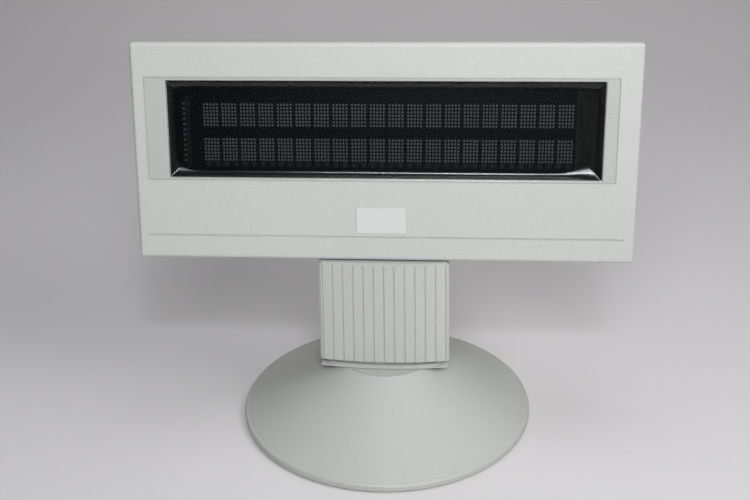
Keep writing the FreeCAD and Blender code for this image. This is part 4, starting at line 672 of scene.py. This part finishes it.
def wires(places, depth, rise, radius):
    """Tube = centre line plus radius times cosine across and sine upwards, at each place."""
    x = places[:, None, None] + radius * np.cos(ring)[None, None]
    up = rise[None, :, None] + radius * np.sin(ring)[None, None]
    x, deep, up = np.broadcast_arrays(x, depth[None, :, None], up)
    one = grid_faces(len(depth), len(ring), closed=True)
    step = len(depth) * len(ring)
    faces = one[None] + step * np.arange(len(places))[:, None, None]
    return to_row(x, deep, up), faces.reshape(-1, 4)


springs = make_piece("socket_contacts", *wires(contact_x, wire_depth, wire_rise, CONTACT_WIDTH / 2),
                     "head", "pin_metal")
springs.data.materials.append(
    finish("phosphor_bronze_gilt", "D9B25A", "C79E45", 5, 0.3, 0.003, 0.28, fleck=0.03,
           Metallic=1.0))

# %% [markdown]
# ## Floor, light and camera
# The display stands on a pale sheet. One large soft lamp shines from the upper
# right, a second from above the viewer's head and a third from straight
# overhead. A small fourth is there for the glint that it leaves on the film,
# and a fifth only lights the sheet behind the display. The rest of the room is
# a soft grey light from all round, with one dark patch straight ahead of the
# window, as a room has behind whoever looks at the display: without it the
# clear window would mirror a pale wall and lose its depth.

# %% Floor
FLOOR_RADIUS, FLOOR_SIDES = 12.0, 96
turn = np.linspace(0, 2 * np.pi, FLOOR_SIDES, endpoint=False)
rim = np.stack([FLOOR_RADIUS * np.cos(turn), FLOOR_RADIUS * np.sin(turn), 0 * turn], axis=-1)
floor_mesh = bpy.data.meshes.new("floor")
floor_mesh.from_pydata(rim, [], [list(range(FLOOR_SIDES))])
floor = bpy.data.objects.new("floor", floor_mesh)
bpy.context.collection.objects.link(floor)
floor_mesh.materials.append(
    finish("paper_pale_sheet", "DDDADA", "D7D4D4", 300, 3.0, 0.02, 0.8, fleck=0.006))
print("floor radius", FLOOR_RADIUS, "m")

# %% Room light
AHEAD, PATCH_RIM, PATCH_CORE, GLOW = (0.0, -0.998, 0.06), 0.80, 0.93, 0.12
world = bpy.data.worlds.new("room")
bpy.context.scene.world = world
world.use_nodes = True
tree = world.node_tree
tree.nodes.clear()
towards = add_node(tree, "TexCoord").outputs["Generated"]
ahead = add_node(tree, "VectorMath", {0: towards, 1: AHEAD}, operation="DOT_PRODUCT")
patch = add_node(tree, "MapRange", {"Value": ahead.outputs["Value"], 1: PATCH_RIM, 2: PATCH_CORE})
tone = add_node(tree, "Mix", {
    0: patch.outputs["Result"], 6: linear("DDE0E6"), 7: linear("202226")}, data_type="RGBA")
room = add_node(tree, "Background", {"Color": tone.outputs[2], "Strength": GLOW})
add_node(tree, "OutputWorld", {"Surface": room.outputs["Background"]})


# %% Lamps
def softbox(name, place, aim, size, power, tint):
    """Area lamp of so many watts that looks from its place to its aim; no view shows it."""
    lamp = bpy.data.lights.new(name, "AREA")
    lamp.shape, lamp.size, lamp.size_y = "RECTANGLE", size[0], size[1]
    lamp.energy, lamp.color = power, linear(tint)[:3]
    holder = bpy.data.objects.new(name, lamp)
    line = Vector(aim) - Vector(place)
    turned = line.to_track_quat("-Z", "Y").to_matrix().to_4x4()
    holder.matrix_world = Matrix.Translation(place) @ turned
    holder.visible_camera = False
    bpy.context.collection.objects.link(holder)
    print(name, "at", place)


softbox("key_lamp", (0.55, -0.30, 0.60), (0.0, 0.0, 0.08), (0.40, 0.35), 2.4, "FDFEFF")
softbox("front_lamp", (0.03, -0.52, 0.45), (0.0, 0.0, 0.08), (0.25, 0.20), 2.0, "FDFEFF")
softbox("overhead_lamp", (0.10, 0.10, 0.90), (0.0, 0.0, 0.08), (0.50, 0.40), 1.2, "FBFCFF")
softbox("window_lamp", (0.06, -0.50, 0.55), (0.0, 0.0, 0.08), (0.07, 0.05), 0.7, "F4F8FF")
softbox("back_lamp", (0.0, 1.0, 0.8), (0.0, 0.9, 0.0), (1.2, 0.4), 3.2, "FFFEFF")

# %% [markdown]
# The camera stands a little above the head, looks down at it, and is turned
# a few degrees. Its three directions come from those angles: forward first,
# then right and up at right angles to it, and last the small roll.

# %% Camera
EYE = Vector((0.02485, -0.41065, 0.2737))
PITCH, HEADING, ROLL = math.radians(25.44), math.radians(-4.06), math.radians(-0.96)
SENSOR, FOCAL = 36.0, 51.46                          # both in millimetres
forward = Vector((math.sin(HEADING) * math.cos(PITCH), math.cos(HEADING) * math.cos(PITCH),
                  -math.sin(PITCH)))
level = Vector((math.cos(HEADING), -math.sin(HEADING), 0.0))
over = level.cross(forward)
right = math.cos(ROLL) * level + math.sin(ROLL) * over
up = math.cos(ROLL) * over - math.sin(ROLL) * level
lens = bpy.data.cameras.new("view")
lens.sensor_width, lens.lens = SENSOR, FOCAL
camera = bpy.data.objects.new("view", lens)
camera.matrix_world = Matrix.Translation(EYE) @ Matrix((right, up, -forward)).transposed().to_4x4()
bpy.context.collection.objects.link(camera)
bpy.context.scene.camera = camera
bpy.context.scene.view_settings.view_transform = "Standard"
print("camera lens", lens.lens, "mm")
